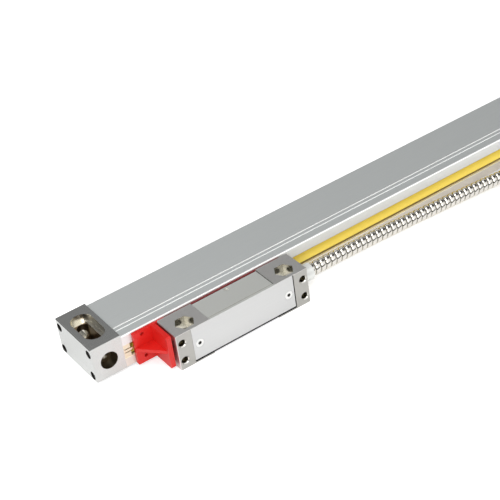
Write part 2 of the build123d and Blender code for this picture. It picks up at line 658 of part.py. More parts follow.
# Flat lead from the photocell board over the blade to the signal board
with BuildPart() as lead:
    slab(around(HEAD_X, LEAD_HALF), (BOARD_Y[1], LEAD_Y), (BLADE_Z[1], BLADE_Z[1] + LEAD_THICK))
    slab(around(HEAD_X, LEAD_HALF), (LEAD_Y - LEAD_THICK, LEAD_Y), (PHOTO_BOARD_Z[1], BLADE_Z[1]))
save(lead.part, "scan_lead")

with BuildPart() as board:
    slab(BOARD_X, BOARD_Y, BOARD_Z)
    for x in PILLAR_X:
        rod("y", BOARD_Y, x, HEAD_MID_Z, BOARD_SCREW_R + HEAD_PLAY, Mode.SUBTRACT)
save(board.part, "signal_board")

BOARD_HEAD = 1.2
BOARD_HEAD_R = 1.9
CHIP_WIDTHS = (10.0, 7.0, 3.0)
CHIP_GAPS = (2.1, 5.5, 2.5, 2.6)
CHIP_ROOM = (PILLAR_X[0] + BOARD_HEAD_R, PILLAR_X[1] - BOARD_HEAD_R)


def chip_x(number):
    """The span of one chip; the room that the chips leave between the screw heads is shared out as gaps."""
    spare = CHIP_ROOM[1] - CHIP_ROOM[0] - sum(CHIP_WIDTHS)
    before = spare * sum(CHIP_GAPS[: number + 1]) / sum(CHIP_GAPS)
    left = CHIP_ROOM[0] + sum(CHIP_WIDTHS[:number]) + before
    return (left, left + CHIP_WIDTHS[number])


# The converter, the line driver and two capacitors: the span in x and z, and the height off the board
CHIP_Z = 8.0
CHIPS = (
    (chip_x(0), around(CHIP_Z, 4.0), 1.6),
    (chip_x(1), around(CHIP_Z, 3.0), 1.4),
    (chip_x(2), around(CHIP_Z - 3.0, 1.5), 2.0),
    (chip_x(2), around(CHIP_Z + 4.5, 1.5), 2.0),
)
with BuildPart() as chips:
    for span_x, span_z, thick in CHIPS:
        slab(span_x, (BOARD_Y[0] - thick, BOARD_Y[0]), span_z)
save(chips.part, "board_components")

with BuildPart() as board_screws:
    for x in PILLAR_X:
        rod("y", (BOARD_Y[0] - BOARD_HEAD, BOARD_Y[0]), x, HEAD_MID_Z, BOARD_HEAD_R)
        rod("y", (BOARD_Y[0], POCKET[1] - TIP_GAP), x, HEAD_MID_Z, BOARD_SCREW_R)
save(board_screws.part, "board_screws")

WIRE_BEND_R = 2.5
WIRE_TURN_X = (HEAD_RIGHT - 5.4, HEAD_RIGHT - 1.0)
with BuildPart() as wires:
    with BuildLine() as wire_path:
        FilletPolyline(
            *corners(
                (
                    (BOARD_X[1], WIRE_Y, CABLE_Z),
                    (WIRE_TURN_X[0], WIRE_Y, CABLE_Z),
                    (WIRE_TURN_X[1], CABLE_Y, CABLE_Z),
                    (CONDUIT_START, CABLE_Y, CABLE_Z),
                )
            ),
            radius=WIRE_BEND_R,
        )
    with BuildSketch(place(BOARD_X[1], WIRE_Y, CABLE_Z, (1, 0, 0))):
        Circle(WIRE_R)
    sweep()
save(wires.part, "signal_wires")


# Red setting bracket: flange, gusset, end plate with two pegs, and the spacing tongue behind the head
COLLAR_REACH = 1.3
END_PLATE_THICK = 2.8
FLANGE_LENGTH = 11.4
FLANGE_HOLE_END = 5.4
TONGUE_SHORT = 5.3
END_PLATE_RIGHT = HEAD_LEFT - COLLAR_REACH
END_PLATE_LEFT = END_PLATE_RIGHT - END_PLATE_THICK
FLANGE_LEFT = END_PLATE_LEFT - FLANGE_LENGTH
FLANGE_PLATE = (FLANGE_LEFT, END_PLATE_LEFT, -2.4, -0.4)
END_PLATE = (END_PLATE_LEFT, END_PLATE_RIGHT, -17.5, -0.4)
BRACKET_Z = (-0.4, 20.3)
GUSSET_Z = (9.0, 11.0)
TONGUE = (END_PLATE_RIGHT, HEAD_RIGHT - TONGUE_SHORT, -1.5, -0.4, 16.2, 20.0)
FLANGE_HOLES = ((FLANGE_LEFT + FLANGE_HOLE_END, 18.0), (FLANGE_LEFT + FLANGE_HOLE_END, 3.6))
FLANGE_HOLE_R = 1.1
GUSSET_EDGE = 1.5
BRACKET_ROUND = 0.8
PEG_COLLAR = 1.0
with BuildPart() as bracket:
    slab(FLANGE_PLATE[0:2], FLANGE_PLATE[2:4], BRACKET_Z)
    fillet(bracket.faces().sort_by(Axis.X)[0].edges().filter_by(Axis.Y), BRACKET_ROUND)
    slab(END_PLATE[0:2], END_PLATE[2:4], BRACKET_Z)
    fillet(bracket.faces().sort_by(Axis.Y)[0].edges().filter_by(Axis.X), BRACKET_ROUND)
    slab(TONGUE[0:2], TONGUE[2:4], TONGUE[4:6])
    with BuildSketch(Plane.XY.offset(GUSSET_Z[0])):
        with BuildLine():
            Polyline(
                (FLANGE_PLATE[0] - TOTAL / 2, FLANGE_PLATE[2] - BLOCK_DEPTH / 2),
                (END_PLATE[0] - TOTAL / 2, FLANGE_PLATE[2] - BLOCK_DEPTH / 2),
                (END_PLATE[0] - TOTAL / 2, END_PLATE[2] + GUSSET_EDGE - BLOCK_DEPTH / 2),
                close=True,
            )
        make_face()
    extrude(amount=GUSSET_Z[1] - GUSSET_Z[0])
    for z in PEG_Z:
        rod("x", (END_PLATE[1], HEAD_LEFT), CABLE_Y, z, PEG_R + PEG_COLLAR)
        rod("x", (HEAD_LEFT, PEG_TIP_X), CABLE_Y, z, PEG_R)
    for x, z in FLANGE_HOLES:
        rod("y", FLANGE_PLATE[2:4], x, z, FLANGE_HOLE_R, Mode.SUBTRACT)
save(bracket.part, "setting_bracket")


# Ferrule that anchors the armoured conduit in the head's end
SPIGOT_DEPTH = 1.5
SPIGOT_X = HEAD_RIGHT - SPIGOT_DEPTH
FERRULE_WIRE_R = 3.0
FERRULE_CHAMFER = 0.3
with BuildPart() as ferrule:
    rod("x", (HEAD_RIGHT, FERRULE_END), CABLE_Y, CABLE_Z, FERRULE_R)
    chamfer(ferrule.edges().filter_by(GeomType.CIRCLE), FERRULE_CHAMFER)
    rod("x", (SPIGOT_X, HEAD_RIGHT), CABLE_Y, CABLE_Z, FERRULE_RECESS_R)
    rod("x", (SPIGOT_X, CONDUIT_START), CABLE_Y, CABLE_Z, FERRULE_WIRE_R, Mode.SUBTRACT)
    rod("x", (CONDUIT_START, FERRULE_END), CABLE_Y, CABLE_Z, CONDUIT_R, Mode.SUBTRACT)
save(ferrule.part, "conduit_ferrule")


# Conduit: straight runs joined by tangent arcs, each arc as large as its two runs allow
ARC_SHARE = 0.45
RUN_ROUTE = (
    (CONDUIT_START, CABLE_Y, CABLE_Z),
    (160.0, CABLE_Y, CABLE_Z),
    (206.0, CABLE_Y, 7.9),
    (292.0, CABLE_Y - 0.6, 3.7),
    (350.0, -16.0, LYING),
    (393.0, HANK_Y - FOLD_R[1], LYING),
    (FOLD_LEFT, HANK_Y - FOLD_R[1], LYING),
)
TAIL_ROUTE = (
    (FOLD_RIGHT, HANK_Y + FOLD_R[1], HANK_TOP - CONDUIT_R),
    (540.0, HANK_Y + FOLD_R[1], HANK_TOP - CONDUIT_R),
    (514.0, 37.4, HANK_TOP + 6.2),
    (486.0, PLUG_Y, PLUG_Z),
    (TAIL_END, PLUG_Y, PLUG_Z),
)


def bend_radii(route):
    radii = []
    for before, corner, after in zip(route, route[1:], route[2:]):
        first = Vector(*corner) - Vector(*before)
        second = Vector(*after) - Vector(*corner)
        half_turn = math.radians(first.get_angle(second)) / 2
        radii.append(ARC_SHARE * min(first.length, second.length) / math.tan(half_turn))
    return radii


def conduit(route, name):
    radii = bend_radii(route)
    points = corners(route)
    with BuildPart() as tube:
        with BuildLine() as path:
            FilletPolyline(*points, radius=radii)
        start = Plane(points[0], z_dir=Vector(*points[1]) - Vector(*points[0]))
        with BuildSketch(start):
            Circle(CONDUIT_R)
        sweep()
    length = sum(edge.length for edge in path.edges())
    section = math.pi * CONDUIT_R**2
    print(name, "radii", [round(r) for r in radii], "length", round(length, 1))
    print(name, "volume over section x length", round(tube.part.volume / (section * length), 4))
    save(tube.part, name)
    return length


run_length = conduit(RUN_ROUTE, "conduit_run")
tail_length = conduit(TAIL_ROUTE, "conduit_tail")
turns = 2 * HANK_LAYERS - 1
fold_mean = sum(FOLD_R) / 2
hank_length = FOLD_RUN + math.pi * fold_mean + turns * 2 * (FOLD_RUN + math.pi * fold_mean)
print("conduit length", round(run_length + tail_length + hank_length), "mm")

# The put-away length: one closed ring of the folded bundle, tied in three places
TIE_PLACES = ((450.0, -1), (530.0, -1), (482.0, 1))


def tie_box(x, side, inset, mode):
    middle = HANK_Y + side * fold_mean
    slab(
        around(x, TIE_WIDTH / 2),
        around(middle, 2 * CONDUIT_R - inset),
        (FLOOR + inset, HANK_TOP - inset),
        mode,
    )


with BuildPart() as hank:
    outer_r = FOLD_R[1] + CONDUIT_R
    inner_r = FOLD_R[0] - CONDUIT_R
    with BuildSketch(place(HANK_X, HANK_Y, FLOOR, (0, 0, 1))):
        SlotOverall(FOLD_RUN + 2 * outer_r, 2 * outer_r)
        SlotOverall(FOLD_RUN + 2 * inner_r, 2 * inner_r, mode=Mode.SUBTRACT)
    extrude(amount=HANK_HEIGHT)
    slab(
        (HANK_LEFT - 1, FOLD_LEFT),
        around(HANK_Y - FOLD_R[1], CONDUIT_R + NOTCH_GAP),
        (FLOOR, FLOOR + 2 * CONDUIT_R + NOTCH_GAP),
        Mode.SUBTRACT,
    )
    slab(
        (TAIL_NOTCH_X, FOLD_RIGHT),
        around(HANK_Y + FOLD_R[1], CONDUIT_R + NOTCH_GAP),
        (HANK_TOP - 2 * CONDUIT_R - NOTCH_GAP, HANK_TOP),
        Mode.SUBTRACT,
    )
    for x, side in TIE_PLACES:
        tie_box(x, side, 0, Mode.SUBTRACT)
        tie_box(x, side, TIE_THICK, Mode.ADD)
save(hank.part, "conduit_hank")

with BuildPart() as ties:
    for x, side in TIE_PLACES:
        tie_box(x, side, 0, Mode.ADD)
        tie_box(x, side, TIE_THICK, Mode.SUBTRACT)
save(ties.part, "hank_ties")


# Nine-pin connector on the conduit's end, lying on the bundle
HOOD_SEAM = PLUG_Z
HOOD_CAVITY = (422.0, 443.0, 8.5, 5.5)
HOOD_SCREW = (447.0, 7.6)
JACK_R = 1.5
JACK_BORE_R = 1.55
JACK_HEAD = (458.3, 465.0, 3.0)
JACK_TIP = 414.0
JACK_SLOT = (0.8, 1.2)
HOOD_CHAMFER = 0.8
HOOD_HEAD_R = 2.2
HOOD_HEAD_DEPTH = 1.6
HOOD_SCREW_DEPTH = 6.0
SHELL_OPENING = (8.5, 4.15)
CORE_R = 2.5
SHELL_FLANGE = (419.0, 420.0, 15.4, 6.2)
SHELL_FRONT = 413.2
SHELL_SIZE = (16.9, 8.3)
SHELL_WALL = 0.5
SHELL_CORNER = 2.4
SHELL_BORE = (SHELL_SIZE[0] - 2 * SHELL_WALL, SHELL_SIZE[1] - 2 * SHELL_WALL)
PIN_PITCH = 2.77
PIN_ROW = 1.42
PIN_R = 0.5


def hood_half(side):
    span_z = sorted((HOOD_SEAM, HOOD_SEAM + side * HOOD_HEIGHT / 2))
    with BuildPart() as hood:
        slab(HOOD_X, around(PLUG_Y, HOOD_HALF), span_z)
        outer = hood.faces().sort_by(Axis.Z)[-1 if side > 0 else 0]
        chamfer(outer.edges(), HOOD_CHAMFER)
        slab(
            HOOD_CAVITY[0:2],
            around(PLUG_Y, HOOD_CAVITY[2]),
            sorted((HOOD_SEAM, HOOD_SEAM + side * HOOD_CAVITY[3])),
            Mode.SUBTRACT,
        )
        slab(
            (HOOD_X[0], HOOD_CAVITY[0]),
            around(PLUG_Y, SHELL_OPENING[0]),
            around(PLUG_Z, SHELL_OPENING[1]),
            Mode.SUBTRACT,
        )
        rod("x", (PLUG_FERRULE[0], HOOD_X[1]), PLUG_Y, PLUG_Z, FERRULE_R, Mode.SUBTRACT)
        rod("x", (HOOD_CAVITY[1], PLUG_FERRULE[0]), PLUG_Y, PLUG_Z, CORE_R, Mode.SUBTRACT)
        for y in (-JACK_HALF, JACK_HALF):
            rod("x", HOOD_X, PLUG_Y + y, PLUG_Z, JACK_BORE_R, Mode.SUBTRACT)
        for y in (-HOOD_SCREW[1], HOOD_SCREW[1]):
            if side > 0:
                with Locations(place(HOOD_SCREW[0], PLUG_Y + y, HOOD_SEAM + HOOD_HEIGHT / 2, (0, 0, 1))):
                    CounterBoreHole(SCREW_R, HOOD_HEAD_R, HOOD_HEAD_DEPTH, HOOD_HEIGHT / 2)
            else:
                thread = (HOOD_SEAM - HOOD_SCREW_DEPTH, HOOD_SEAM)
                rod("z", thread, HOOD_SCREW[0], PLUG_Y + y, SCREW_R, Mode.SUBTRACT)
    return hood.part


save(hood_half(1), "connector_hood_upper")
save(hood_half(-1), "connector_hood_lower")

with BuildPart() as hood_screws:
    for y in (-HOOD_SCREW[1], HOOD_SCREW[1]):
        seat = HOOD_SEAM + HOOD_HEIGHT / 2 - HOOD_HEAD_DEPTH
        head_top = seat + HOOD_HEAD_DEPTH - HEAD_PLAY
        rod("z", (seat, head_top), HOOD_SCREW[0], PLUG_Y + y, HOOD_HEAD_R - HEAD_PLAY)
        rod("z", (HOOD_SEAM - HOOD_SCREW_DEPTH + TIP_GAP, seat), HOOD_SCREW[0], PLUG_Y + y, SCREW_R)
save(hood_screws.part, "hood_screws")

with BuildPart() as plug_ferrule:
    rod("x", PLUG_FERRULE, PLUG_Y, PLUG_Z, FERRULE_R)
    rod("x", PLUG_FERRULE, PLUG_Y, PLUG_Z, CORE_R, Mode.SUBTRACT)
    rod("x", (TAIL_END, PLUG_FERRULE[1]), PLUG_Y, PLUG_Z, CONDUIT_R, Mode.SUBTRACT)
save(plug_ferrule.part, "connector_ferrule")

with BuildPart() as shell:
    slab(SHELL_FLANGE[0:2], around(PLUG_Y, SHELL_FLANGE[2]), around(PLUG_Z, SHELL_FLANGE[3]))
    with BuildSketch(place(SHELL_FLANGE[0], PLUG_Y, PLUG_Z, (-1, 0, 0))):
        RectangleRounded(*SHELL_SIZE, SHELL_CORNER)
    extrude(amount=SHELL_FLANGE[0] - SHELL_FRONT)
    with BuildSketch(place(SHELL_FLANGE[1], PLUG_Y, PLUG_Z, (-1, 0, 0))):
        RectangleRounded(*SHELL_BORE, SHELL_CORNER - SHELL_WALL)
    extrude(amount=SHELL_FLANGE[1] - SHELL_FRONT, mode=Mode.SUBTRACT)
    for y in (-JACK_HALF, JACK_HALF):
        rod("x", SHELL_FLANGE[0:2], PLUG_Y + y, PLUG_Z, JACK_BORE_R, Mode.SUBTRACT)
save(shell.part, "connector_shell")

INSULATOR_X = (417.6, 424.0)
PIN_SET_BACK = 0.6
PIN_TAIL = 3.0
with BuildPart() as insulator:
    with BuildSketch(place(INSULATOR_X[0], PLUG_Y, PLUG_Z, (1, 0, 0))):
        RectangleRounded(*SHELL_BORE, SHELL_CORNER - SHELL_WALL)
    extrude(amount=INSULATOR_X[1] - INSULATOR_X[0])
    for count, z in ((5, PIN_ROW), (4, -PIN_ROW)):
        for pin in range(count):
            y = PLUG_Y + (pin - (count - 1) / 2) * PIN_PITCH
            rod("x", INSULATOR_X, y, PLUG_Z + z, PIN_R, Mode.SUBTRACT)
save(insulator.part, "connector_insulator")

with BuildPart() as pins:
    for count, z in ((5, PIN_ROW), (4, -PIN_ROW)):
        for pin in range(count):
            y = PLUG_Y + (pin - (count - 1) / 2) * PIN_PITCH
            span = (SHELL_FRONT + PIN_SET_BACK, INSULATOR_X[1] + PIN_TAIL)
            rod("x", span, y, PLUG_Z + z, PIN_R)
save(pins.part, "connector_pins")

for y, jack_name in ((-JACK_HALF, "front"), (JACK_HALF, "back")):
    with BuildPart() as jack:
        rod("x", JACK_HEAD[0:2], PLUG_Y + y, PLUG_Z, JACK_HEAD[2])
        with BuildSketch(place(JACK_HEAD[1], PLUG_Y + y, PLUG_Z, (1, 0, 0))):
            Rectangle(JACK_SLOT[0], 2 * JACK_HEAD[2])
        extrude(amount=-JACK_SLOT[1], mode=Mode.SUBTRACT)
        rod("x", (JACK_TIP, JACK_HEAD[0]), PLUG_Y + y, PLUG_Z, JACK_R)
    save(jack.part, f"{jack_name}_thumbscrew")
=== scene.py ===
# %% [markdown]
# # A sealed linear glass scale
# A linear glass scale measures how far a machine's slide has moved: a reading head runs along an aluminium housing
# that seals a graduated strip of glass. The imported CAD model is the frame, and every node of it already sits where it
# belongs, in metres, with the middle of the scale's base at the origin. The shapes could be modelled again here, but
# then they could drift from the CAD. So this script keeps them, gives each node its finish, adds the pieces that CAD
# leaves plain, and sets up a small studio round them.

# %% Load the frame
import math

import bmesh
import bpy
import numpy as np
from mathutils import Matrix, Vector


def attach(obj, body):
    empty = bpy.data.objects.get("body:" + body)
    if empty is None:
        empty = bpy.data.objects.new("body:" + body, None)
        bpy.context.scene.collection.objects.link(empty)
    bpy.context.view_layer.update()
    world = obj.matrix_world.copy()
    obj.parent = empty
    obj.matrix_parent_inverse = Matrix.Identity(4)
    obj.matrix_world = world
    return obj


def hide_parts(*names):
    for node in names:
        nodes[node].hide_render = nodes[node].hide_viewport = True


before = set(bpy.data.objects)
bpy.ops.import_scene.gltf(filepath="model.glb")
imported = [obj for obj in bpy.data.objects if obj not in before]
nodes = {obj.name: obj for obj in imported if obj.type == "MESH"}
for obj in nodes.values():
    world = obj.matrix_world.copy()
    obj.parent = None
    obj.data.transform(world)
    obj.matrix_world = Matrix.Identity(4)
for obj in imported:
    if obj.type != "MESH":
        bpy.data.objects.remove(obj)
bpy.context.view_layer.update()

# %% [markdown]
# All places on the object are easiest to read from its left end, its front face and its base, in millimetres, as a
# drawing would give them. One helper turns such a place into the frame's metres, and every later cell uses it.

# %% Millimetres on the drawing to metres in the frame
MM = 0.001
TOTAL = 362.0
DEPTH = 37.9
FLOOR = -2.65


def at(x, y, z):
    return Vector(((x - TOTAL / 2) * MM, (y - DEPTH / 2) * MM, z * MM))


print("left front base corner at", tuple(round(v, 4) for v in at(0, 0, 0)))

# %% [markdown]
# The camera comes first, because everything is judged through it. It could be set by eye, but a small error shows at
# every edge. So its place and direction were found by fitting a pinhole camera to corners of the object in the
# photograph, and they are plain numbers here. A camera looks along its own -Z with +Y up, so its turn is built from
# the direction that it looks in and a rough up.

# %% Camera
CAMERA_AT = at(-223.354, -560.263, 491.738)
LOOK = Vector((0.41231, 0.70511, -0.57690)).normalized()
UP = Vector((0.41607, 0.41760, 0.80777))
LENS = 105.256
SENSOR = 36.0

camera = bpy.data.objects.new("camera", bpy.data.cameras.new("camera"))
bpy.context.collection.objects.link(camera)
camera.data.lens = LENS
camera.data.sensor_width = SENSOR
camera.data.clip_start = 10 * MM
rightwards = LOOK.cross(UP).normalized()
turn = Matrix((rightwards, rightwards.cross(LOOK), -LOOK)).transposed().to_4x4()
camera.matrix_world = Matrix.Translation(CAMERA_AT) @ turn
bpy.context.scene.camera = camera
print("camera", tuple(round(v, 3) for v in camera.location), "lens", camera.data.lens)

# %% [markdown]
# The armoured conduit guards the signal cable. It leaves the reading head straight, sinks to the floor, and is put
# away beyond the picture: folded into a hank of six passes, two wide and three high. Its route is one smooth NURBS
# line. The run and the tail repeat the points of the CAD route, so that the ribs stay round the CAD solids.

# %% Where the conduit runs
CONDUIT_R = 4.0
CABLE_Y = -10.8
CABLE_Z = 9.45
LYING = FLOOR + CONDUIT_R
HANK_X = 491.0
HANK_Y = 2.0
FOLD_RUN = 138.0
FOLD_LEFT = HANK_X - FOLD_RUN / 2
FOLD_RIGHT = HANK_X + FOLD_RUN / 2
FOLD_R = {"inner": 28.0, "outer": 36.0}
LAYER_RISES = (0.5, 8.25, 16.0)
LAYER_Z = [LYING + rise for rise in LAYER_RISES]
PLUG_Y = 31.0
PLUG_Z = 28.85

run_points = [
    (129.8, CABLE_Y, CABLE_Z),
    (160.0, CABLE_Y, CABLE_Z),
    (206.0, CABLE_Y, 7.9),
    (292.0, CABLE_Y - 0.6, 3.7),
    (350.0, -16.0, LYING),
    (393.0, HANK_Y - FOLD_R["outer"], LYING),
    (FOLD_LEFT, HANK_Y - FOLD_R["outer"], LYING),
]
tail_points = [
    (FOLD_RIGHT, HANK_Y + FOLD_R["outer"], LAYER_Z[2]),
    (540.0, HANK_Y + FOLD_R["outer"], LAYER_Z[2]),
    (514.0, 37.4, 27.55),
    (486.0, PLUG_Y, PLUG_Z),
    (460.0, PLUG_Y, PLUG_Z),
]
print(len(run_points), "points in the run,", len(tail_points), "in the tail")

# %% [markdown]
# The folds between them could be typed in point by point, but a loop works them out with less room for slips. Each
# half turn has its control points on the polygon that the circle touches, so the line runs through the middle of each
# side, right on the circle. Between two half turns the line crosses over to the next column or layer.

# %% Folds of the hank
HALF_TURN_STEPS = 8
PASSES = [("outer", 0), ("inner", 0), ("inner", 1), ("outer", 1), ("inner", 2), ("outer", 2)]
CROSSINGS_X = [(438.0, 425.0), (457.0, 441.0), (477.0, 460.0), (497.0, 480.0), (519.0, 500.0)]


def half_turn(centre_x, start_angle, column, layer):
    step = math.pi / HALF_TURN_STEPS
    reach = FOLD_R[column] / math.cos(step / 2)
    angles = [start_angle + (k + 0.5) * step for k in range(HALF_TURN_STEPS)]
    return [
        (centre_x + reach * math.cos(a), HANK_Y + reach * math.sin(a), LAYER_Z[layer]) for a in angles
    ]


hank_points = []
for number, (column, layer) in enumerate(PASSES):
    hank_points += half_turn(FOLD_RIGHT, -math.pi / 2, column, layer)
    if number < len(CROSSINGS_X):
        next_column, next_layer = PASSES[number + 1]
        before_x, after_x = CROSSINGS_X[number]
        hank_points.append((before_x, HANK_Y + FOLD_R[column], LAYER_Z[layer]))
        hank_points.append((after_x, HANK_Y + FOLD_R[next_column], LAYER_Z[next_layer]))
        hank_points += half_turn(FOLD_LEFT, math.pi / 2, next_column, next_layer)
route = run_points + hank_points + tail_points
print(len(route), "control points")

# %% [markdown]
# A NURBS spline of order 3 with those points follows the route smoothly and starts and ends on its end points. The
# order is set after the points are in, since before them there is nothing for it to apply to. The line that it draws
# is read back as a mesh without a bevel, and that gives the path for the ribs.

# %% Smooth line through the route
def smooth_line(points):
    curve = bpy.data.curves.new("conduit_line", "CURVE")
    curve.dimensions = "3D"
    spline = curve.splines.new("NURBS")
    spline.points.add(len(points) - 1)
    for knot, place in zip(spline.points, points):
        knot.co = (*at(*place), 1.0)
    spline.order_u = 3
    spline.use_endpoint_u = True
    spline.resolution_u = 10
    line = bpy.data.objects.new("conduit_line", curve)
    bpy.context.collection.objects.link(line)
    drawn = bpy.data.meshes.new_from_object(line)
    points_on_line = np.array([v.co[:] for v in drawn.vertices])
    bpy.data.objects.remove(line)
    return points_on_line


path = smooth_line(route)
steps = np.linalg.norm(np.diff(path, axis=0), axis=1)
along = np.concatenate(([0.0], np.cumsum(steps)))
conduit_length = float(along[-1])
print(len(path), "points on the line, length", round(conduit_length, 3), "m")

# %% [markdown]
# The conduit is a steel strip wound into a spiral, each turn hooked over the last, so its outside is one long helical
# rib. A smooth tube with a bump map would look flat at its edges, and rings would not join up. One turn of the real
# spiral is a short profile that is spun round the X axis while it moves on by one pitch.

# %% One turn of the strip
PITCH = 3.66
RIB = [(0.0, 3.35), (0.07, 3.35), (0.16, 3.9), (0.24, 3.99), (0.62, 4.0), (0.74, 3.94), (0.92, 3.35), (1.0, 3.35)]
AROUND = 14
turns = round(conduit_length / (PITCH * MM))
pitch = conduit_length / turns


def as_object(mesh, name):
    data = bpy.data.meshes.new(name)
    mesh.to_mesh(data)
    mesh.free()
    piece = bpy.data.objects.new(name, data)
    bpy.context.collection.objects.link(piece)
    return piece


spiral = bmesh.new()
profile = [spiral.verts.new((share * pitch, 0.0, radius * MM)) for share, radius in RIB]
edges = [spiral.edges.new(pair) for pair in zip(profile, profile[1:])]
bmesh.ops.spin(
    spiral,
    geom=profile + edges,
    cent=(0, 0, 0),
    axis=(1, 0, 0),
    dvec=(pitch / AROUND, 0, 0),
    angle=2 * math.pi,
    steps=AROUND,
    use_merge=False,
)
conduit = as_object(spiral, "armoured_conduit")
print("one turn has", len(conduit.data.polygons), "faces")

# %% [markdown]
# An Array modifier repeats the turn from end to end and merges the seams, which is far quicker than spinning all the
# turns at once. The outcome is read back as a plain mesh, because its vertices are moved next.

# %% The whole straight spiral
MERGE_WITHIN = 0.02

array = conduit.modifiers.new("turns", "ARRAY")
array.count = turns - 1
array.use_relative_offset = False
array.use_constant_offset = True
array.constant_offset_displace = (pitch, 0, 0)
array.use_merge_vertices = True
array.merge_threshold = MERGE_WITHIN * MM
depsgraph = bpy.context.evaluated_depsgraph_get()
wound = bpy.data.meshes.new_from_object(conduit.evaluated_get(depsgraph))
conduit.modifiers.clear()
conduit.data = wound
print("spiral has", len(wound.polygons), "faces in", turns, "turns")

# %% [markdown]
# Laying the straight spiral along the path needs a frame at each point of it: the direction of travel, and two
# directions across. A Curve modifier could bend it, but it may twist the ribs where the path turns upwards. Here the
# directions across turn as little as possible from one point to the next, so the ribs keep an even pitch.

# %% Directions along the path
tangents = np.gradient(path, along, axis=0)
tangents /= np.linalg.norm(tangents, axis=1)[:, None]
across = np.zeros_like(path)
across[0] = np.cross(tangents[0], (0.0, 0.0, 1.0))
for i in range(1, len(path)):
    carried = across[i - 1] - tangents[i] * np.dot(across[i - 1], tangents[i])
    across[i] = carried / np.linalg.norm(carried)
upward = np.cross(across, tangents)
print("directions at", len(path), "points")

# %% [markdown]
# Each vertex then moves from its place along X to the same distance along the path, and keeps its two offsets across.

# %% Lay the spiral along the path
coords = np.empty(len(wound.vertices) * 3)
wound.vertices.foreach_get("co", coords)
coords = coords.reshape(-1, 3)
travel = np.clip(coords[:, 0], 0.0, conduit_length)


def along_path(values):
    return np.stack([np.interp(travel, along, values[:, k]) for k in range(3)], axis=1)


laid = along_path(path) + coords[:, 1:2] * along_path(across) + coords[:, 2:3] * along_path(upward)
wound.vertices.foreach_set("co", laid.ravel())
print("lowest point of the conduit", round(float(laid[:, 2].min()) / MM, 2), "mm")

# %% [markdown]
# On a real conduit the gap between two turns lies in shade, and the finish paints that shade in. So each vertex carries
# how high on its rib it lies, from 0 in the gap to 1 on the crown, and the finish reads that later. A spin can turn a
# mesh inside out, so the normals are recalculated, and smooth faces make the few sides of a turn look round.

# %% Rib height and normals
rib_height = wound.attributes.new("rib_height", "FLOAT", "POINT")
radius = np.hypot(coords[:, 1], coords[:, 2]) / MM
gap_radius = RIB[0][1]
rib_height.data.foreach_set("value", np.clip((radius - gap_radius) / (CONDUIT_R - gap_radius), 0.0, 1.0))

finish = bmesh.new()
finish.from_mesh(wound)
bmesh.ops.recalc_face_normals(finish, faces=finish.faces)
for face in finish.faces:
    face.smooth = True
finish.to_mesh(wound)
finish.free()
wound.update()
print("rib height on", len(wound.vertices), "vertices")

# %% [markdown]
# The conduit is attached to the reading head's body. Its ferrule, connector and screws lie on it. It stands for the
# three plain solids that the CAD model uses for collision and mass, and those are hidden.

BODY = "reading_head"
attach(conduit, BODY)
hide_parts("conduit_run", "conduit_hank", "conduit_tail")
print("cord declared,", round(conduit_length, 3), "m drawn")

# %% [markdown]
# Cable ties keep the hank shut. A tie is a flat strap that closes round the six passes, with a small ratchet head on
# top. The strap could be bent from a long strip, but its closed shape is all that shows. So it starts as a box whose
# four edges along X are rounded and whose two open sides are taken off, and a wall of half a millimetre grows
# outwards.

# %% Sizes of the bundle and its tie
STRAP_WIDTH = 4.8
STRAP_WALL = 0.5
STRAP_CORNER = 3.6
CORNER_STEPS = 6
HEAD_SIZE = (5.6, 7.0, 3.6)
HEAD_INSET = 2.0
BUNDLE_R = (FOLD_R["inner"] + FOLD_R["outer"]) / 2
BUNDLE_Z = (LAYER_Z[0] + LAYER_Z[2]) / 2
BUNDLE_TOP = LAYER_Z[2] + CONDUIT_R
BUNDLE_DEPTH = 4 * CONDUIT_R
BUNDLE_HEIGHT = LAYER_Z[2] - LAYER_Z[0] + 2 * CONDUIT_R
print("a strap closes round", BUNDLE_DEPTH, "by", BUNDLE_HEIGHT, "mm")

# %% Helpers for a box and its edges
def put_box(mesh, centre, size):
    made = bmesh.ops.create_cube(mesh, size=1.0)
    bmesh.ops.scale(mesh, vec=[v * MM for v in size], verts=made["verts"])
    bmesh.ops.translate(mesh, vec=at(*centre), verts=made["verts"])


def runs_along_x(edge):
    way = (edge.verts[1].co - edge.verts[0].co).normalized()
    return abs(way.x) > 0.99


print("boxes are placed by their middle")

# %% One strap with its head
def strap_at(x, side):
    middle_y = HANK_Y + side * BUNDLE_R
    strap = bmesh.new()
    put_box(strap, (x, middle_y, BUNDLE_Z), (STRAP_WIDTH, BUNDLE_DEPTH, BUNDLE_HEIGHT))
    corners = [e for e in strap.edges if runs_along_x(e)]
    bmesh.ops.bevel(
        strap,
        geom=corners,
        offset=STRAP_CORNER * MM,
        segments=CORNER_STEPS,
        profile=0.5,
        affect="EDGES",
        material=-1,
    )
    open_sides = [f for f in strap.faces if abs(f.normal.x) > 0.9]
    bmesh.ops.delete(strap, geom=open_sides, context="FACES")
    bmesh.ops.recalc_face_normals(strap, faces=strap.faces)
    bmesh.ops.solidify(strap, geom=strap.faces, thickness=-STRAP_WALL * MM)
    put_box(strap, (x, middle_y - side * HEAD_INSET, BUNDLE_TOP + HEAD_SIZE[2] / 2), HEAD_SIZE)
    data = bpy.data.meshes.new("strap")
    strap.to_mesh(data)
    strap.free()
    return data


print("strap", STRAP_WIDTH, "mm wide, head", HEAD_SIZE, "mm")

# %% [markdown]
# Two ties hold the front of the bundle and one its back. They are one piece, as they are one node in the CAD model.

# %% Ties round the hank
TIE_PLACES = ((450.0, -1), (530.0, -1), (482.0, 1))

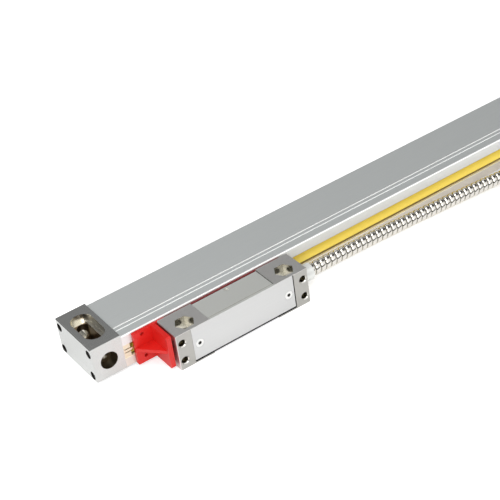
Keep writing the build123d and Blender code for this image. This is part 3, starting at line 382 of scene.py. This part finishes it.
ties = bmesh.new()
for x, side in TIE_PLACES:
    ties.from_mesh(strap_at(x, side))
bmesh.ops.recalc_face_normals(ties, faces=ties.faces)
cable_ties = as_object(ties, "cable_ties")
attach(cable_ties, BODY)
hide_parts("hank_ties")
print("ties:", len(cable_ties.data.polygons), "faces")

# %% [markdown]
# Every finish below is a graph of shader nodes. Written out one node and one link at a time, a graph is hard to read,
# so these helpers take the inputs of a node as a table. What comes from another node is linked, and a plain value is
# set on the socket.

# %% Helpers that add nodes and link them
def feed(tree, node, inputs):
    for label, value in inputs.items():
        if isinstance(value, bpy.types.NodeSocket):
            tree.links.new(value, node.inputs[label])
        else:
            node.inputs[label].default_value = value


def add(tree, kind, inputs=None, **settings):
    node = tree.nodes.new(kind)
    for key, value in settings.items():
        setattr(node, key, value)
    feed(tree, node, inputs or {})
    return node


def maths(tree, operation, *values):
    return add(tree, "ShaderNodeMath", dict(enumerate(values)), operation=operation).outputs[0]


def vector_maths(tree, operation, *values):
    return add(tree, "ShaderNodeVectorMath", dict(enumerate(values)), operation=operation)


print("nodes take their inputs as a table")

# %% [markdown]
# Two more things come up again and again. A fade turns one span of a value softly into another, as a Map Range node
# does. A group gets its named inputs and outputs when it is made, before anything is put inside.

# %% Helpers for a fade and a group
def fade(tree, source, start, end, low=0.0, high=1.0, shape="SMOOTHSTEP"):
    limits = {"From Min": start, "From Max": end, "To Min": low, "To Max": high}
    return add(tree, "ShaderNodeMapRange", {"Value": source, **limits}, interpolation_type=shape).outputs["Result"]


def new_group(name, inputs, outputs):
    tree = bpy.data.node_groups.new(name, "ShaderNodeTree")
    for label, kind, value in inputs:
        socket = tree.interface.new_socket(label, in_out="INPUT", socket_type=kind)
        socket.default_value = value
    for label, kind in outputs:
        tree.interface.new_socket(label, in_out="OUTPUT", socket_type=kind)
    return tree, tree.nodes.new("NodeGroupInput"), tree.nodes.new("NodeGroupOutput")


print("fades and groups are ready")

# %% [markdown]
# Machined and drawn metal is never one even tone: a tool or a die leaves fine lines, and the lines catch the light.
# A scratched picture could be laid on, but it would need its own place on every piece. One node group makes that grain
# for all of them instead. Its Stretch input says which way the lines run, because a noise that is squeezed hard across
# one axis looks like lines along it. It gives a colour, a roughness and a normal.

# %% Node group: tooling grain
GRAIN_HEIGHT = 0.05

grain, grain_in, grain_out = new_group(
    "tooling_grain",
    [
        ("Colour", "NodeSocketColor", (0.6, 0.6, 0.6, 1)),
        ("Stretch", "NodeSocketVector", (200, 4000, 4000)),
        ("Contrast", "NodeSocketFloat", 0.1),
        ("Roughness", "NodeSocketFloat", 0.35),
        ("Depth", "NodeSocketFloat", 0.1),
    ],
    [("Colour", "NodeSocketColor"), ("Roughness", "NodeSocketFloat"), ("Normal", "NodeSocketVector")],
)
place = add(grain, "ShaderNodeTexCoord").outputs["Object"]
stretched = vector_maths(grain, "MULTIPLY", place, grain_in.outputs["Stretch"]).outputs[0]
lines = add(grain, "ShaderNodeTexNoise", {"Vector": stretched, "Scale": 1.0, "Detail": 3.0}).outputs["Fac"]
swing = maths(grain, "MULTIPLY", maths(grain, "SUBTRACT", lines, 0.5), grain_in.outputs["Contrast"])
tone = maths(grain, "ADD", swing, 1.0)
toned = add(grain, "ShaderNodeVectorMath", {0: grain_in.outputs["Colour"], "Scale": tone}, operation="SCALE")
rough = maths(grain, "MULTIPLY", grain_in.outputs["Roughness"], tone)
relief = {"Height": lines, "Strength": grain_in.outputs["Depth"], "Distance": GRAIN_HEIGHT * MM}
normal = add(grain, "ShaderNodeBump", relief).outputs["Normal"]
feed(grain, grain_out, {"Colour": toned.outputs[0], "Roughness": rough, "Normal": normal})
print("group", grain.name, "has", len(grain.nodes), "nodes")

# %% [markdown]
# The walls of holes and pockets look different from the faces round them: the cutter leaves them bare, warmer and
# smoother, while the faces are brushed or anodised. The faces of a CAD mesh could be sorted by hand, but a second
# group tells the two apart by place alone. It is 1 inside a box and 0 outside it, and a box a little smaller than a
# block holds all its inner walls and none of its outer faces.

# %% Node group: inside a box
inside, inside_in, inside_out = new_group(
    "inside_box",
    [("Low", "NodeSocketVector", (-1, -1, -1)), ("High", "NodeSocketVector", (1, 1, 1))],
    [("Mask", "NodeSocketFloat")],
)
place = add(inside, "ShaderNodeTexCoord").outputs["Object"]
above_low = vector_maths(inside, "SUBTRACT", place, inside_in.outputs["Low"]).outputs[0]
below_high = vector_maths(inside, "SUBTRACT", inside_in.outputs["High"], place).outputs[0]
nearest = vector_maths(inside, "MINIMUM", above_low, below_high).outputs[0]
room = add(inside, "ShaderNodeSeparateXYZ", {0: nearest})
least_xy = maths(inside, "MINIMUM", room.outputs["X"], room.outputs["Y"])
least = maths(inside, "MINIMUM", least_xy, room.outputs["Z"])
feed(inside, inside_out, {"Mask": maths(inside, "GREATER_THAN", least, 0.0)})
print("group", inside.name, "has", len(inside.nodes), "nodes")

# %% [markdown]
# Most finishes differ only in colour, grain direction and how metallic they are, so one function builds a material
# round the group. The Principled shader stays in the material, and what is the same all over is set on it directly.

# %% A material with grain
EVEN = (900.0, 900.0, 900.0)
ALONG_X = (60.0, 2600.0, 2600.0)


def principled(material):
    return material.node_tree.nodes["Principled BSDF"]


def grained(name, colour, metallic, roughness, stretch=EVEN, contrast=0.1, depth=0.1):
    material = bpy.data.materials.new(name)
    material.use_nodes = True
    tree = material.node_tree
    look = {"Colour": (*colour, 1), "Stretch": stretch, "Contrast": contrast, "Roughness": roughness, "Depth": depth}
    texture = add(tree, "ShaderNodeGroup", look, node_tree=grain).outputs
    uneven = {"Base Color": texture["Colour"], "Roughness": texture["Roughness"], "Normal": texture["Normal"]}
    feed(tree, principled(material), {"Metallic": metallic, **uneven})
    return material


def dress(material, *names):
    for name in names:
        piece = nodes[name] if name in nodes else bpy.data.objects[name]
        piece.data.materials.clear()
        piece.data.materials.append(material)


print("grain runs evenly or along X")

# %% [markdown]
# Five metals make most of the picture. The housing is extruded and then anodised, so it is grey, satin and grained
# along its length. The end blocks and the reading head are milled and polished, and the cover is a brushed sheet. The
# two blocks have a material each, because their holes lie in different places.

# %% Five main metals
housing_metal = grained(
    "anodised_housing", (0.635, 0.66, 0.655), metallic=0.55, roughness=0.45, stretch=ALONG_X, contrast=0.08, depth=0.12
)
block_metal = grained("milled_block", (0.70, 0.71, 0.695), metallic=1.0, roughness=0.24, contrast=0.08, depth=0.06)
right_block_metal = grained(
    "milled_right_block", (0.70, 0.71, 0.695), metallic=1.0, roughness=0.24, contrast=0.08, depth=0.06
)
head_metal = grained("milled_head", (0.84, 0.83, 0.81), metallic=1.0, roughness=0.38, contrast=0.10, depth=0.025)
cover_metal = grained(
    "cover_sheet", (0.73, 0.73, 0.725), metallic=1.0, roughness=0.36, stretch=ALONG_X, contrast=0.05, depth=0.05
)
dress(housing_metal, "scale_housing")
dress(block_metal, "left_end_block")
dress(right_block_metal, "right_end_block")
dress(head_metal, "head_body")
dress(cover_metal, "cover_plate")
print("five main metals on", housing_metal.name, block_metal.name, head_metal.name, cover_metal.name)

# %% [markdown]
# A patch gives one box of a material another colour, smoothness or share of metal, on top of the grain. It puts a Mix
# node in front of the shader's socket, between what was there and the new value, so a later patch lies over an
# earlier one. A box is given as the span that it takes along X, Y and Z.

# %% Patches inside a box
def around(centre, half):
    return (centre - half, centre + half)


def blend_in(material, label, mask, value):
    tree = material.node_tree
    socket = principled(material).inputs[label]
    is_colour = label == "Base Color"
    first, second, out = (6, 7, 2) if is_colour else (2, 3, 0)
    before = socket.links[0].from_socket if socket.is_linked else socket.default_value
    inputs = {0: mask, first: before, second: value}
    mix = add(tree, "ShaderNodeMix", inputs, data_type="RGBA" if is_colour else "FLOAT")
    tree.links.new(mix.outputs[out], socket)


def patch(material, span_x, span_y, span_z, colour, roughness=None, metallic=None):
    low, high = (at(*corner) for corner in zip(span_x, span_y, span_z))
    box = add(material.node_tree, "ShaderNodeGroup", {"Low": low, "High": high}, node_tree=inside)
    for label, value in (("Base Color", (*colour, 1)), ("Roughness", roughness), ("Metallic", metallic)):
        if value is not None:
            blend_in(material, label, box.outputs["Mask"], value)


print("patches are ready")

# %% [markdown]
# Each end block has a long slot for its mounting screw with a wider seat above it, a bored hole in its front, and four
# screws sunk in its end. Little light gets back out of a hole, so the walls are painted darker the deeper they lie, as
# painted shade. One side of the seat is painted dark too, a painted reflection of the wall across from it.

# %% Colours and places of the blocks' inner walls
WARM_WALL = (0.93, 0.89, 0.78)
PAINTED_SLOT_SHADE = (0.24, 0.18, 0.12)
PAINTED_SEAT_REFLECTION = (0.24, 0.235, 0.22)
PAINTED_BORE_SHADE = (0.20, 0.165, 0.115)
PAINTED_SCREW_HOLE_SHADE = (0.07, 0.065, 0.06)
BLOCK_MIDDLE = 9.6
BLOCK_HALF = 9.2
BLOCK_Y = (0.45, 37.4)
BLOCK_Z = (0.3, 21.75)
SLOT_HALF = 3.9
SLOT_Y = (9.0, 29.0)
SLOT_Z = (0.3, 17.3)
SEAT_WALL_FROM = 3.4
SEAT_Y = (6.0, 31.0)
SEAT_Z = (17.35, 21.75)
BORE_HALF = 5.5
BORE_Y = (0.42, 7.3)
BORE_Z = (4.8, 15.9)
SCREWS_FROM_END = 1.7
SCREWS_HALF = 1.6
print("inner walls within", BLOCK_HALF, "mm of the middle of a block")

# %% Walls inside the end blocks
for metal, middle, screws in (
    (block_metal, BLOCK_MIDDLE, SCREWS_FROM_END),
    (right_block_metal, TOTAL - BLOCK_MIDDLE, TOTAL - SCREWS_FROM_END),
):
    seat_x = (middle + SEAT_WALL_FROM, middle + BLOCK_HALF)
    patch(metal, around(middle, BLOCK_HALF), BLOCK_Y, BLOCK_Z, WARM_WALL, roughness=0.26)
    # painted shade in the slot, the bore and round the sunk screws, and a painted reflection on one side of the seat
    patch(metal, around(middle, SLOT_HALF), SLOT_Y, SLOT_Z, PAINTED_SLOT_SHADE, roughness=0.3)
    patch(metal, seat_x, SEAT_Y, SEAT_Z, PAINTED_SEAT_REFLECTION, roughness=0.3)
    patch(metal, around(middle, BORE_HALF), BORE_Y, BORE_Z, PAINTED_BORE_SHADE, roughness=0.4)
    patch(metal, around(screws, SCREWS_HALF), BLOCK_Y, BLOCK_Z, PAINTED_SCREW_HOLE_SHADE, roughness=0.5)
print("patched", block_metal.name, "and", right_block_metal.name)

# %% [markdown]
# The reading head has bare walls in its hexagonal seats, and its four front holes are painted dark at the bottom, a
# painted shade. The fronts of its two pads are greyer than their tops. Its middle is a lighter, coarser face, with a
# thin dark line of painted shade where it meets the right pad, and a small dimple near the back.

# %% Colours and places on the reading head
HOLE_WALL = (0.86, 0.84, 0.77)
PAINTED_HOLE_SHADE = (0.10, 0.085, 0.05)
PAD_FRONT = (0.52, 0.51, 0.48)
DIMPLE = (0.74, 0.74, 0.70)
MIDDLE_FACE = (0.68, 0.69, 0.66)
PAINTED_PAD_EDGE_SHADE = (0.08, 0.08, 0.07)
HEAD_INSIDE_X = (40.6, 125.8)
HEAD_INSIDE_Y = (-19.85, -1.8)
HEAD_INSIDE_Z = (-2.3, 20.25)
PAD_FRONT_X = (40.0, 126.5)
PAD_FRONT_Y = (-20.2, -19.95)
FRONT_HOLES_X = (43.5, 122.9)
FRONT_HOLE_HALF = 2.1
FRONT_HOLE_END_Y = (-16.0, -14.4)
FRONT_HOLES_Z = (0.6, 16.4)
DIMPLE_X = (80.5, 86.0)
DIMPLE_Y = (-7.0, -2.9)
DIMPLE_Z = (19.3, 20.28)
MIDDLE_X = (61.72, 104.68)
MIDDLE_Y = (-20.05, -1.8)
MIDDLE_Z = (20.2, 20.4)
DARK_LINE_X = (104.25, 104.68)
DARK_LINE_Z = (20.0, 20.42)
print("the head's middle face runs from", MIDDLE_X[0], "to", MIDDLE_X[1], "mm")

# %% Faces and holes of the reading head
patch(head_metal, HEAD_INSIDE_X, HEAD_INSIDE_Y, HEAD_INSIDE_Z, HOLE_WALL, roughness=0.2)
patch(head_metal, PAD_FRONT_X, PAD_FRONT_Y, HEAD_INSIDE_Z, PAD_FRONT, roughness=0.36)
for hole_x in FRONT_HOLES_X:
    hole_span = around(hole_x, FRONT_HOLE_HALF)
    # painted shade at the bottom of each front hole
    patch(head_metal, hole_span, FRONT_HOLE_END_Y, FRONT_HOLES_Z, PAINTED_HOLE_SHADE, roughness=0.3)
patch(head_metal, DIMPLE_X, DIMPLE_Y, DIMPLE_Z, DIMPLE, roughness=0.5)
patch(head_metal, MIDDLE_X, MIDDLE_Y, MIDDLE_Z, MIDDLE_FACE, roughness=0.55, metallic=0.75)
# painted shade where the middle meets the right pad
patch(head_metal, DARK_LINE_X, MIDDLE_Y, DARK_LINE_Z, PAINTED_PAD_EDGE_SHADE, roughness=0.5)
print("patched", head_metal.name)

# %% [markdown]
# The housing's front is painted paler than its top, and warmer below the mouth, as painted light from the floor. The
# two grooves and the front edge along its top are painted as thin white lines, a painted highlight. They could be given
# lamps of their own, but a white that is not metallic stays bright from every side.

# %% Painted light and painted highlights on the housing
PAINTED_LIGHT_ABOVE_MOUTH = (0.86, 0.87, 0.86)
PAINTED_FLOOR_LIGHT_BELOW_MOUTH = (0.80, 0.75, 0.68)
PAINTED_GROOVE_HIGHLIGHT = (0.95, 0.96, 0.95)
PAINTED_EDGE_HIGHLIGHT = (1.0, 1.0, 0.99)
PAINTED_LEDGE_LIGHT = (1.0, 0.93, 0.74)
ALL_ALONG = (-1.0, 400.0)
HOUSING_FRONT_Y = (-0.1, 0.4)
ABOVE_MOUTH_Z = (14.3, 20.3)
BELOW_MOUTH_Z = (0.2, 5.7)
GROOVES_Y = (5.4, 9.4)
GROOVES_Z = (20.2, 20.97)
EDGE_Y = (-0.1, 0.45)
EDGE_Z = (20.25, 21.1)
LEDGE_Y = (-0.1, 1.2)
LEDGE_Z = (5.7, 6.3)

# painted light: the front is paler above the mouth and warmer below it
patch(housing_metal, ALL_ALONG, HOUSING_FRONT_Y, ABOVE_MOUTH_Z, PAINTED_LIGHT_ABOVE_MOUTH, roughness=0.45)
patch(housing_metal, ALL_ALONG, HOUSING_FRONT_Y, BELOW_MOUTH_Z, PAINTED_FLOOR_LIGHT_BELOW_MOUTH, roughness=0.45)
# painted highlights: non-metallic white on the grooves and the front edge
patch(housing_metal, ALL_ALONG, GROOVES_Y, GROOVES_Z, PAINTED_GROOVE_HIGHLIGHT, roughness=0.4, metallic=0.0)
patch(housing_metal, ALL_ALONG, EDGE_Y, EDGE_Z, PAINTED_EDGE_HIGHLIGHT, roughness=0.35, metallic=0.0)
# painted light on the upward ledge below the mouth
patch(housing_metal, ALL_ALONG, LEDGE_Y, LEDGE_Z, PAINTED_LEDGE_LIGHT, roughness=0.4)
print("patched", housing_metal.name)

# %% [markdown]
# The cover is a sheet set into the head's front. Its top edge looks like the head's middle, and its lower and right
# edges are painted as thin dark lines, a painted shade for a narrow gap that lets no light out.

# %% Edges of the cover
PAINTED_LOWER_SEAM_SHADE = (0.02, 0.02, 0.02)
PAINTED_RIGHT_SEAM_SHADE = (0.03, 0.03, 0.03)
COVER_X = (49.0, 117.0)
COVER_TOP_Y = (-20.2, -18.5)
COVER_TOP_Z = (20.2, 20.4)
COVER_GAP_Y = (-20.2, -18.0)
LOWER_GAP_Z = (-1.9, -0.65)
RIGHT_GAP_X = (116.25, 117.0)
RIGHT_GAP_Z = (-1.9, 20.4)

patch(cover_metal, COVER_X, COVER_TOP_Y, COVER_TOP_Z, MIDDLE_FACE, roughness=0.55, metallic=0.75)
# painted shade along the cover's lower and right edges
patch(cover_metal, COVER_X, COVER_GAP_Y, LOWER_GAP_Z, PAINTED_LOWER_SEAM_SHADE, roughness=0.5)
patch(cover_metal, RIGHT_GAP_X, COVER_GAP_Y, RIGHT_GAP_Z, PAINTED_RIGHT_SEAM_SHADE, roughness=0.5)
print("patched", cover_metal.name)

# %% [markdown]
# The small metal pieces use the same function: bright steel for the rollers and the connector shell, satin nickel
# for the ferrules, black steel for the sunk screws, and a warm tone for the clips and the coupling arm. The plated
# screws of the cover have a small hexagonal socket, which a patch darkens as painted shade.

# %% Small metal pieces
PAINTED_SOCKET_SHADE = (0.12, 0.12, 0.11)
BEHIND_SCREW_FACE = ((40.0, 127.0), (-20.0, -10.0), (-3.0, 20.4))

bright_steel = grained("bright_steel", (0.90, 0.90, 0.87), metallic=1.0, roughness=0.22, contrast=0.08, depth=0.05)
dress(bright_steel, "connector_shell", "front_thumbscrew", "back_thumbscrew", "roller_axles")
dress(bright_steel, *[f"guide_roller_{k}" for k in range(1, 6)])
satin_nickel = grained("satin_nickel", (0.87, 0.88, 0.85), metallic=0.5, roughness=0.42, contrast=0.06, depth=0.05)
dress(satin_nickel, "conduit_ferrule", "connector_ferrule")
black_steel = grained("black_screw_steel", (0.05, 0.05, 0.05), metallic=0.9, roughness=0.4, contrast=0.2, depth=0.1)
dress(black_steel, "left_end_screws", "right_end_screws", "hood_screws")
plated_steel = grained(
    "plated_screw_steel", (0.97, 0.97, 0.95), metallic=1.0, roughness=0.4, contrast=0.05, depth=0.05
)
# painted shade inside the screw sockets
patch(plated_steel, *BEHIND_SCREW_FACE, PAINTED_SOCKET_SHADE, roughness=0.4)
dress(plated_steel, "cover_screws", "arm_screws", "board_screws")
clip_brass = grained("passivated_clip", (0.86, 0.78, 0.60), metallic=1.0, roughness=0.3, contrast=0.1, depth=0.1)
dress(clip_brass, "lip_end_clips", "coupling_arm")
hood_metal = grained("hood_metal", (0.55, 0.55, 0.54), metallic=0.9, roughness=0.38, contrast=0.1, depth=0.1)
dress(hood_metal, "connector_hood_upper", "connector_hood_lower")
pin_gold = grained("pin_gold", (0.90, 0.68, 0.28), metallic=1.0, roughness=0.2, contrast=0.05, depth=0.02)
dress(pin_gold, "connector_pins")
carriage_metal = grained(
    "carriage_casting", (0.30, 0.30, 0.31), metallic=0.8, roughness=0.5, contrast=0.2, depth=0.3
)
dress(carriage_metal, "scanning_carriage")
print("small metals dressed")

# %% [markdown]
# The conduit's strip is the smoothest metal of all, because its ribs show the whole room as small bright and dark
# patches. The shade in the gaps could be left to the light, but the gaps are too narrow for that. So the colour fades
# to a darker one as the rib height goes to 0, a painted shade.

# %% Steel of the conduit
PAINTED_GAP_SHADE = (0.36, 0.34, 0.29, 1)
SHADE_FROM_HEIGHT = 0.05
SHADE_TO_HEIGHT = 0.5

conduit_steel = grained(
    "conduit_strip_steel", (0.86, 0.83, 0.77), metallic=1.0, roughness=0.09, contrast=0.15, depth=0.05
)
strip = conduit_steel.node_tree
on_rib = add(strip, "ShaderNodeAttribute", attribute_name="rib_height").outputs["Fac"]
in_gap = fade(strip, on_rib, SHADE_FROM_HEIGHT, SHADE_TO_HEIGHT, low=1.0, high=0.0, shape="LINEAR")
# painted shade in the gaps between turns
blend_in(conduit_steel, "Base Color", in_gap, PAINTED_GAP_SHADE)
dress(conduit_steel, "armoured_conduit")
print("conduit dressed in", conduit_steel.name)

# %% [markdown]
# The lip seal is a yellow polyurethane strip that closes the housing's mouth. Where it comes out of the housing it is
# painted duller and more olive, a painted shade under the mouth's edge, and its free edge lies in the shade of the
# other lip, painted dark as painted shade. The first is a soft fade by height, and the second a narrow patch.

# %% Lip seal
ROOT_FROM_Z = 11.4
ROOT_TO_Z = 14.6
PAINTED_ROOT_SHADE = (0.42, 0.42, 0.31, 1)
PAINTED_LIP_EDGE_SHADE = (0.16, 0.11, 0.02)
LIP_EDGE_Y = (0.0, 3.0)
LIP_EDGE_Z = (5.8, 6.75)

lip_yellow = grained(
    "yellow_lip", (1.0, 0.78, 0.13), metallic=0.0, roughness=0.5, stretch=ALONG_X, contrast=0.08, depth=0.1
)
strip = lip_yellow.node_tree
parts = add(strip, "ShaderNodeSeparateXYZ", {0: add(strip, "ShaderNodeTexCoord").outputs["Object"]})
at_root = fade(strip, parts.outputs["Z"], ROOT_FROM_Z * MM, ROOT_TO_Z * MM)
# painted shade: the lip turns olive towards its root
blend_in(lip_yellow, "Base Color", at_root, PAINTED_ROOT_SHADE)
# painted shade along the lip's free edge
patch(lip_yellow, ALL_ALONG, LIP_EDGE_Y, LIP_EDGE_Z, PAINTED_LIP_EDGE_SHADE)
dress(lip_yellow, "upper_lip_seal", "lower_lip_seal")
print("lips dressed in", lip_yellow.name)

# %% [markdown]
# The setting bracket is a bright red plastic moulding, which holds the head in place until it is fitted. A little
# light passes through its skin, so it has some subsurface scattering, red the deepest. The rail that lies between the
# head and the housing is painted dark, a painted shade, because both of them shade it.

# %% Setting bracket
PAINTED_RAIL_SHADE = (0.20, 0.03, 0.03)
RAIL_PLACE = ((45.0, 127.0), (-2.7, 0.0), (18.0, 20.4))
RED_DEPTHS = (0.004, 0.0008, 0.0005)

bracket_red = grained("bracket_red", (0.66, 0.014, 0.010), metallic=0.0, roughness=0.38, contrast=0.06, depth=0.1)
skin = {"Subsurface Weight": 0.1, "Subsurface Radius": RED_DEPTHS}
feed(bracket_red.node_tree, principled(bracket_red), skin)
# painted shade on the rail between head and housing
patch(bracket_red, *RAIL_PLACE, PAINTED_RAIL_SHADE, roughness=0.5)
dress(bracket_red, "setting_bracket")
print("bracket dressed in", bracket_red.name)

# %% [markdown]
# Rubber, plastic and board pieces reflect little, so they are not metallic and rather rough. Most of them lie inside
# and show only when the housing or the head is taken off.

# %% Rubber, plastic and board
black_rubber = grained("black_rubber", (0.02, 0.02, 0.02), metallic=0.0, roughness=0.8, contrast=0.3, depth=0.3)
dress(black_rubber, "glass_retaining_strip", "end_buffers", "left_end_gasket", "right_end_gasket")
grey_silicone = grained("grey_silicone", (0.42, 0.42, 0.40), metallic=0.0, roughness=0.7, contrast=0.2, depth=0.2)
dress(grey_silicone, "cover_gasket")
board_green = grained("board_green", (0.02, 0.16, 0.06), metallic=0.0, roughness=0.35, contrast=0.2, depth=0.1)
dress(board_green, "signal_board", "photocell_board")
chip_black = grained("chip_black", (0.025, 0.025, 0.027), metallic=0.0, roughness=0.5, contrast=0.2, depth=0.1)
dress(chip_black, "board_components", "connector_insulator", "cable_ties")
lead_amber = grained(
    "lead_amber", (0.50, 0.23, 0.03), metallic=0.0, roughness=0.35, stretch=ALONG_X, contrast=0.1, depth=0.05
)
dress(lead_amber, "scan_lead")
wire_grey = grained("wire_grey", (0.30, 0.30, 0.31), metallic=0.0, roughness=0.5, contrast=0.1, depth=0.1)
dress(wire_grey, "signal_wires")
lamp_cream = grained("lamp_cream", (0.75, 0.72, 0.60), metallic=0.0, roughness=0.25, contrast=0.05, depth=0.05)
dress(lamp_cream, "led_light_source")
print("soft and moulded pieces dressed")

# %% [markdown]
# The scale itself is a strip of glass with chrome lines every twentieth of a millimetre. At this size the lines are
# far too fine to draw one by one, so a wave texture lays a finely striped grey band along the middle of the strip.

# %% Graduated glass
CLEAR_GLASS = (0.85, 0.95, 0.92, 1)
CHROME_LINE = (0.18, 0.18, 0.19, 1)
LINES_SCALE = 800.0
BAND_Y = (15.0, 26.0)

graduated = bpy.data.materials.new("graduated_glass")
graduated.use_nodes = True
tree = graduated.node_tree
place = add(tree, "ShaderNodeTexCoord").outputs["Object"]
parts = add(tree, "ShaderNodeSeparateXYZ", {0: place})
stripes = {"Vector": place, "Scale": LINES_SCALE}
wave = add(tree, "ShaderNodeTexWave", stripes, wave_type="BANDS", bands_direction="X").outputs["Fac"]
behind_front = maths(tree, "GREATER_THAN", parts.outputs["Y"], at(0, BAND_Y[0], 0).y)
before_back = maths(tree, "LESS_THAN", parts.outputs["Y"], at(0, BAND_Y[1], 0).y)
lined = maths(tree, "MULTIPLY", maths(tree, "MULTIPLY", behind_front, before_back), wave)
colour = add(tree, "ShaderNodeMix", {0: lined, 6: CLEAR_GLASS, 7: CHROME_LINE}, data_type="RGBA").outputs[2]
feed(tree, principled(graduated), {"Base Color": colour, "Roughness": 0.03, "Transmission Weight": 0.9})
dress(graduated, "glass_scale", "index_reticle", "collimator_lens")
print("glass dressed in", graduated.name)

# %% [markdown]
# The object lies on a pale floor. The photograph is a cut-out on white, so the camera should see white here too, but
# more light would wash out the object. Instead the floor glows a little for the camera, and faintly for rays from
# metal and glass, and it keeps the object's shadow.

# %% Floor
FLOOR_SIZE = 6.0
CAMERA_GLOW = 0.5
MIRRORED_GLOW = 0.10
PALE_PAPER = (0.9, 0.9, 0.9, 1)
WHITE = (1, 1, 1, 1)

floor_mesh = bmesh.new()
bmesh.ops.create_grid(floor_mesh, x_segments=1, y_segments=1, size=FLOOR_SIZE)
bmesh.ops.translate(floor_mesh, vec=(0, 0, FLOOR * MM), verts=floor_mesh.verts)
floor = as_object(floor_mesh, "floor")

floor_paper = bpy.data.materials.new("floor_paper")
floor_paper.use_nodes = True
tree = floor_paper.node_tree
seen = add(tree, "ShaderNodeLightPath").outputs
in_metal_or_glass = maths(tree, "MAXIMUM", seen["Is Glossy Ray"], seen["Is Transmission Ray"])
faint = maths(tree, "MULTIPLY", in_metal_or_glass, MIRRORED_GLOW)
glow = maths(tree, "MULTIPLY_ADD", seen["Is Camera Ray"], CAMERA_GLOW, faint)
paper = {"Base Color": PALE_PAPER, "Roughness": 0.9, "Specular IOR Level": 0.1}
feed(tree, principled(floor_paper), {**paper, "Emission Color": WHITE, "Emission Strength": glow})
floor.data.materials.append(floor_paper)
print("floor at", FLOOR, "mm")

# %% [markdown]
# What a metal mirrors decides how it looks. In the photograph the front and the end face are bright, because they
# mirror the floor, and the polished tops are dark, because they mirror a dim space behind. The conduit shows the rest:
# a white front and ceiling, a small dark patch overhead and a thin dark horizon. Cards and screens could be stood
# round the object, but they would be in the way from other sides. So the world itself is this backdrop for glossy
# rays, worked out from the direction that a ray takes.

# %% World: the backdrop that metal mirrors
DARK_SPOT = Vector((0.52, 0.02, 0.85)).normalized()
SPOT_EDGE = (0.91, 0.965)
SPOT_LIGHT = 0.1
HORIZON_EDGE = (0.16, 0.36)
HORIZON_LIGHT = 0.04
CEILING_EDGE = (0.74, 0.84)
BACK_TO_FRONT = (0.3, -0.5)
LIGHT_BEHIND = 0.22

world = bpy.data.worlds.new("studio")
bpy.context.scene.world = world
world.use_nodes = True
sky = world.node_tree
ray = add(sky, "ShaderNodeTexCoord").outputs["Generated"]
ray_parts = add(sky, "ShaderNodeSeparateXYZ", {0: ray}).outputs
towards_spot = vector_maths(sky, "DOT_PRODUCT", ray, DARK_SPOT).outputs["Value"]
dark_spot = fade(sky, towards_spot, *SPOT_EDGE, low=1.0, high=SPOT_LIGHT)
dark_horizon = fade(sky, ray_parts["Z"], *HORIZON_EDGE, low=HORIZON_LIGHT)
white_front = fade(sky, ray_parts["Y"], *BACK_TO_FRONT, low=LIGHT_BEHIND)
white_above = fade(sky, ray_parts["Z"], *CEILING_EDGE, low=LIGHT_BEHIND)
white = maths(sky, "MAXIMUM", white_front, white_above)
mirrored = maths(sky, "MULTIPLY", maths(sky, "MULTIPLY", white, dark_spot), dark_horizon)
print("backdrop nodes:", len(sky.nodes))

# %% [markdown]
# Everything else is lit by a soft light that is strongest at the front, while the camera and glass see plain white.
# The Light Path node tells the kinds of ray apart, and two Mix nodes choose between the three.

# %% World: soft light and plain white
SOFT_BEHIND = 0.14
SOFT_IN_FRONT = 1.1

soft_light = fade(sky, ray_parts["Y"], *BACK_TO_FRONT, low=SOFT_BEHIND, high=SOFT_IN_FRONT)
seen = add(sky, "ShaderNodeLightPath").outputs
plain = maths(sky, "MAXIMUM", seen["Is Camera Ray"], seen["Is Transmission Ray"])
by_kind = {0: seen["Is Glossy Ray"], 2: soft_light, 3: mirrored}
on_object = add(sky, "ShaderNodeMix", by_kind, data_type="FLOAT").outputs[0]
strength = add(sky, "ShaderNodeMix", {0: plain, 2: on_object, 3: 1.0}, data_type="FLOAT").outputs[0]
feed(sky, sky.nodes["Background"], {"Color": WHITE, "Strength": strength})
print("world nodes:", len(sky.nodes))

# %% [markdown]
# Large round area lamps give soft shadows. The lamp at the front left is split into a fill and a glint, one just
# before the other. Metal mirrors only the weaker glint, so the ribs and the edges of holes sparkle, and the housing's
# top shows no glare from behind. The third lamp lights the tops. The plain Standard view keeps colours as written.

# %% Lamps
def soft_lamp(name, place, size, power):
    lamp = bpy.data.lights.new(name, "AREA")
    lamp.shape = "DISK"
    lamp.size = size
    lamp.energy = power
    holder = bpy.data.objects.new(name, lamp)
    bpy.context.collection.objects.link(holder)
    holder.location = place
    holder.rotation_euler = (-Vector(place)).to_track_quat("-Z", "Y").to_euler()
    return holder


front_fill = soft_lamp("front_fill", place=(-0.9, -0.9, 1.0), size=0.9, power=5.2)
front_fill.visible_glossy = False
soft_lamp("front_glint", place=(-0.86, -0.86, 0.96), size=0.86, power=2.8)
soft_lamp("top_lamp", place=(-0.7, 0.35, 1.25), size=0.9, power=6.0)
bpy.context.scene.view_settings.view_transform = "Standard"
print("soft lamps:", len(bpy.data.lights))
